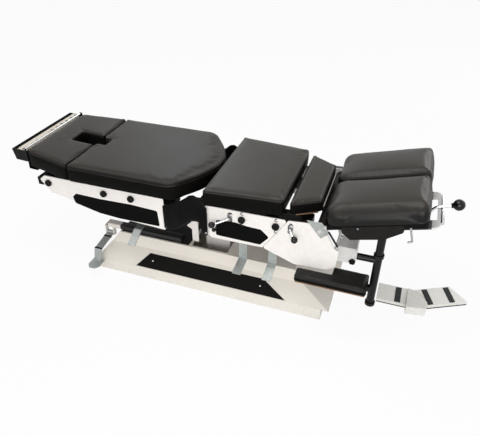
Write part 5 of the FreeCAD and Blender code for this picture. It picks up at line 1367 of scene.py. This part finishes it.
# %% [markdown]
# ## Trim on the plates
# Small parts make the plates read as machinery: arc scales at two of the knobs, a zinc gusset and
# its bolts at the head plates' top, and a folded lip down their end, painted black as shade.

# %% Flat shapes
def slab(name, outline, depth, place, body, slot, look, bevel=0.0006):
    """A flat shape: its outline (a, b) at two depths, placed by a function of (a, b, depth)."""
    outline = np.asarray(outline, float)
    count = len(outline)
    front = place(outline[:, 0], outline[:, 1], np.zeros(count))
    back = place(outline[:, 0], outline[:, 1], np.full(count, depth))
    ring = np.arange(count)
    after = (ring + 1) % count
    faces = [tuple(ring), tuple(ring[::-1] + count)]
    faces += [(int(b), int(a), int(a) + count, int(b) + count) for a, b in zip(ring, after)]
    piece = make_piece(name, np.vstack([front, back]), faces, body, slot, look, smooth=False)
    return modified(piece, "BEVEL", width=bevel, segments=2, limit_method="ANGLE")


def plate_side(face, side=-1.0):
    """Places (x, z, depth) on a side plate's outer face, depth running outwards."""
    return lambda a, b, d: np.column_stack([a, side * (face + d), b])


def arc_band(x, z, inner, outer, start, stop, steps=16):
    """Outline of an arc-shaped band between two radii and two angles in degrees."""
    t = np.radians(np.linspace(start, stop, steps))
    one = np.column_stack([x + outer * np.cos(t), z + outer * np.sin(t)])
    two = np.column_stack([x + inner * np.cos(t[::-1]), z + inner * np.sin(t[::-1])])
    return np.vstack([one, two])


for tag, x in (("tension", 0.221), ("drop", 0.377)):
    for level, z in (("upper", 0.5335), ("lower", 0.4735)):
        slab("scale_%s_%s" % (tag, level), arc_band(x, z, 0.0046, 0.0082, 60, 330), 0.0006,
             plate_side(THORACIC_FACE), "lift", "inset_black", "lever_black", 0.0002)
print("arc scales", 4)

# %% [markdown]
# The gusset stiffens the head plates where the head section's shaft passes, and its two bolts are
# ordinary hexagon heads on washers. The lip is the plate's own folded edge, seen from outside; its black is
# painted shade.

# %% Gusset, folded lip and bolts
GUSSET = [(0.508, 0.5655), (0.572, 0.5665), (0.602, 0.538), (0.607, 0.517), (0.574, 0.486)]
PAINTED_SHADE_FOLD = [(0.6010, 0.528), (0.6085, 0.5295), (0.6530, 0.4625), (0.6460, 0.4600)]
GUSSET_FACE, BRACKET_FACE = 0.2592, 0.2752
for tag, side in SIDES:
    slab("gusset_" + tag, GUSSET, 0.0022, plate_side(THORACIC_FACE, side), "lift", "zinc_steel", "zinc_steel")
    # Painted shade: the plate's folded lip gets a black finish instead of the plate's paint.
    slab("plate_fold_painted_shade_" + tag, PAINTED_SHADE_FOLD, 0.0060, plate_side(THORACIC_FACE + 0.0002, side), "lift", "plate_paint",
         "lever_black")


def bolt(name, spot, side, radius, height, body, look="screw_steel"):
    """Hexagon head on a round washer: six corners carried up a chamfered profile."""
    washer = np.array([(0.0, 0.0), (1.25, 0.0), (1.25, 0.25), (0.96, 0.25), (0.0, 0.25)]) * [radius, height]
    head = np.array([(0.0, 0.2), (1.0, 0.2), (1.0, 0.85), (0.82, 1.0), (0.0, 1.0)]) * [radius, height]
    way = (0.0, side, 0.0)
    shape = joined([turned(washer, spot, way, 24), turned(head, spot, way, 6)])
    return make_piece(name, *shape, body, "rod_chrome", look, smooth=False)


for tag, side in SIDES:
    bolt("pivot_bolt_" + tag, (HEAD_PIVOT[0], side * GUSSET_FACE, HEAD_PIVOT[2]), side, 0.0105, 0.007, "lift")
    bolt("gusset_bolt_" + tag, (0.590, side * GUSSET_FACE, 0.5465), side, 0.0075, 0.006, "lift")
    bolt("bracket_bolt_" + tag, head_place(0.163, side * BRACKET_FACE, 0.0205), side, 0.0034, 0.003, "head",
         "pin_steel")
print("bolts", 3 * len(SIDES))

# %% [markdown]
# Flat bands finish the part: rubber straps round the end lever, a cap on the end beam, and a dark
# strip along the foot of the foot control's housings.

# %% End lever straps, beam end and foot-control strips
UPWARDS = (0.0, 0.0, 1.0)
END_X, END_Y = -0.578, -0.129


def strip(name, a, b, width_way, width, thick_way, thick, body, slot, look):
    """A flat band from a to b: corners at plus and minus half its width, and its thickness outwards."""
    a, b = np.asarray(a, float), np.asarray(b, float)
    w, t = np.asarray(width_way, float) * width / 2, np.asarray(thick_way, float) * thick
    base = [a - w, b - w, b + w, a + w]
    corners = np.array(base + [corner + t for corner in base])
    faces = [(0, 1, 2, 3), (7, 6, 5, 4), (0, 4, 5, 1), (1, 5, 6, 2), (2, 6, 7, 3), (3, 7, 4, 0)]
    piece = make_piece(name, corners, faces, body, slot, look, smooth=False)
    return modified(piece, "BEVEL", width=min(thick, width) * 0.25, segments=2, limit_method="ANGLE")


def dark_foot_strip(name, a, b, high, out):
    """A dark strip along the foot of a housing's front."""
    return strip(name, a, b, UPWARDS, high, out, 0.0012, "base", "lever_black", "lever_black")


lever_low, lever_high = np.array([END_X, -0.265, 0.140]), np.array([END_X, END_Y, 0.160])
run_way = (lever_low - lever_high) / np.linalg.norm(lever_low - lever_high)
up_way = np.cross([1.0, 0.0, 0.0], run_way)
up_way *= np.sign(up_way[2])
for tag, share in (("upper", 0.24), ("lower", 0.93)):
    spot = lever_high + (lever_low - lever_high) * share
    for face_tag, sign in (("top", 1.0), ("under", -1.0)):
        start = spot + sign * up_way * 0.0030
        strip("lever_strap_%s_%s" % (tag, face_tag), start, start + run_way * 0.010, (1.0, 0.0, 0.0), 0.0425,
              sign * up_way, 0.0014, "end_foot_lever", "lever_black", "lever_black")

strip("beam_end_cap", (-0.5785, END_Y, 0.2075), (-0.5785, END_Y, 0.2310), (0.0, 1.0, 0.0), 0.040,
      (-1.0, 0.0, 0.0), 0.003, "base", "lever_black", "lever_black")
dark_foot_strip("control_dark_strip_left", (0.850, -0.0270, 0.0025), (0.990, -0.0270, 0.0025), 0.005, NEAR_WAY)
turn_way, turn_out = [np.array([np.cos(a), np.sin(a), 0.0]) for a in (TURN, TURN - np.pi / 2)]
right_start = np.array([*RIGHT_HOUSING, 0.0028])
dark_foot_strip("control_dark_strip_right", right_start + turn_way * 0.006, right_start + turn_way * 0.2125, 0.0056,
      turn_out)
print("lever run", np.round(run_way, 3).tolist())

# %% [markdown]
# The cervical board and the arm boards are plywood, and their raw edges show as a thin brown line
# under the black covers.

# %% Plywood edges under the cervical and arm pads
for tag, side in SIDES:
    out = (0.0, side, 0.0)
    strip("neck_plywood_" + tag, (0.4500, side * 0.2075, 0.5520), (0.5380, side * 0.1560, 0.5520), UPWARDS,
          0.011, out, 0.003, "cervical", "board_black", "plywood")
    strip("arm_plywood_" + tag, (0.4900, side * 0.3275, 0.2805), (0.7940, side * 0.3275, 0.2805), UPWARDS,
          0.005, out, 0.002, "arm_" + tag, "board_black", "plywood")
print("trim done")
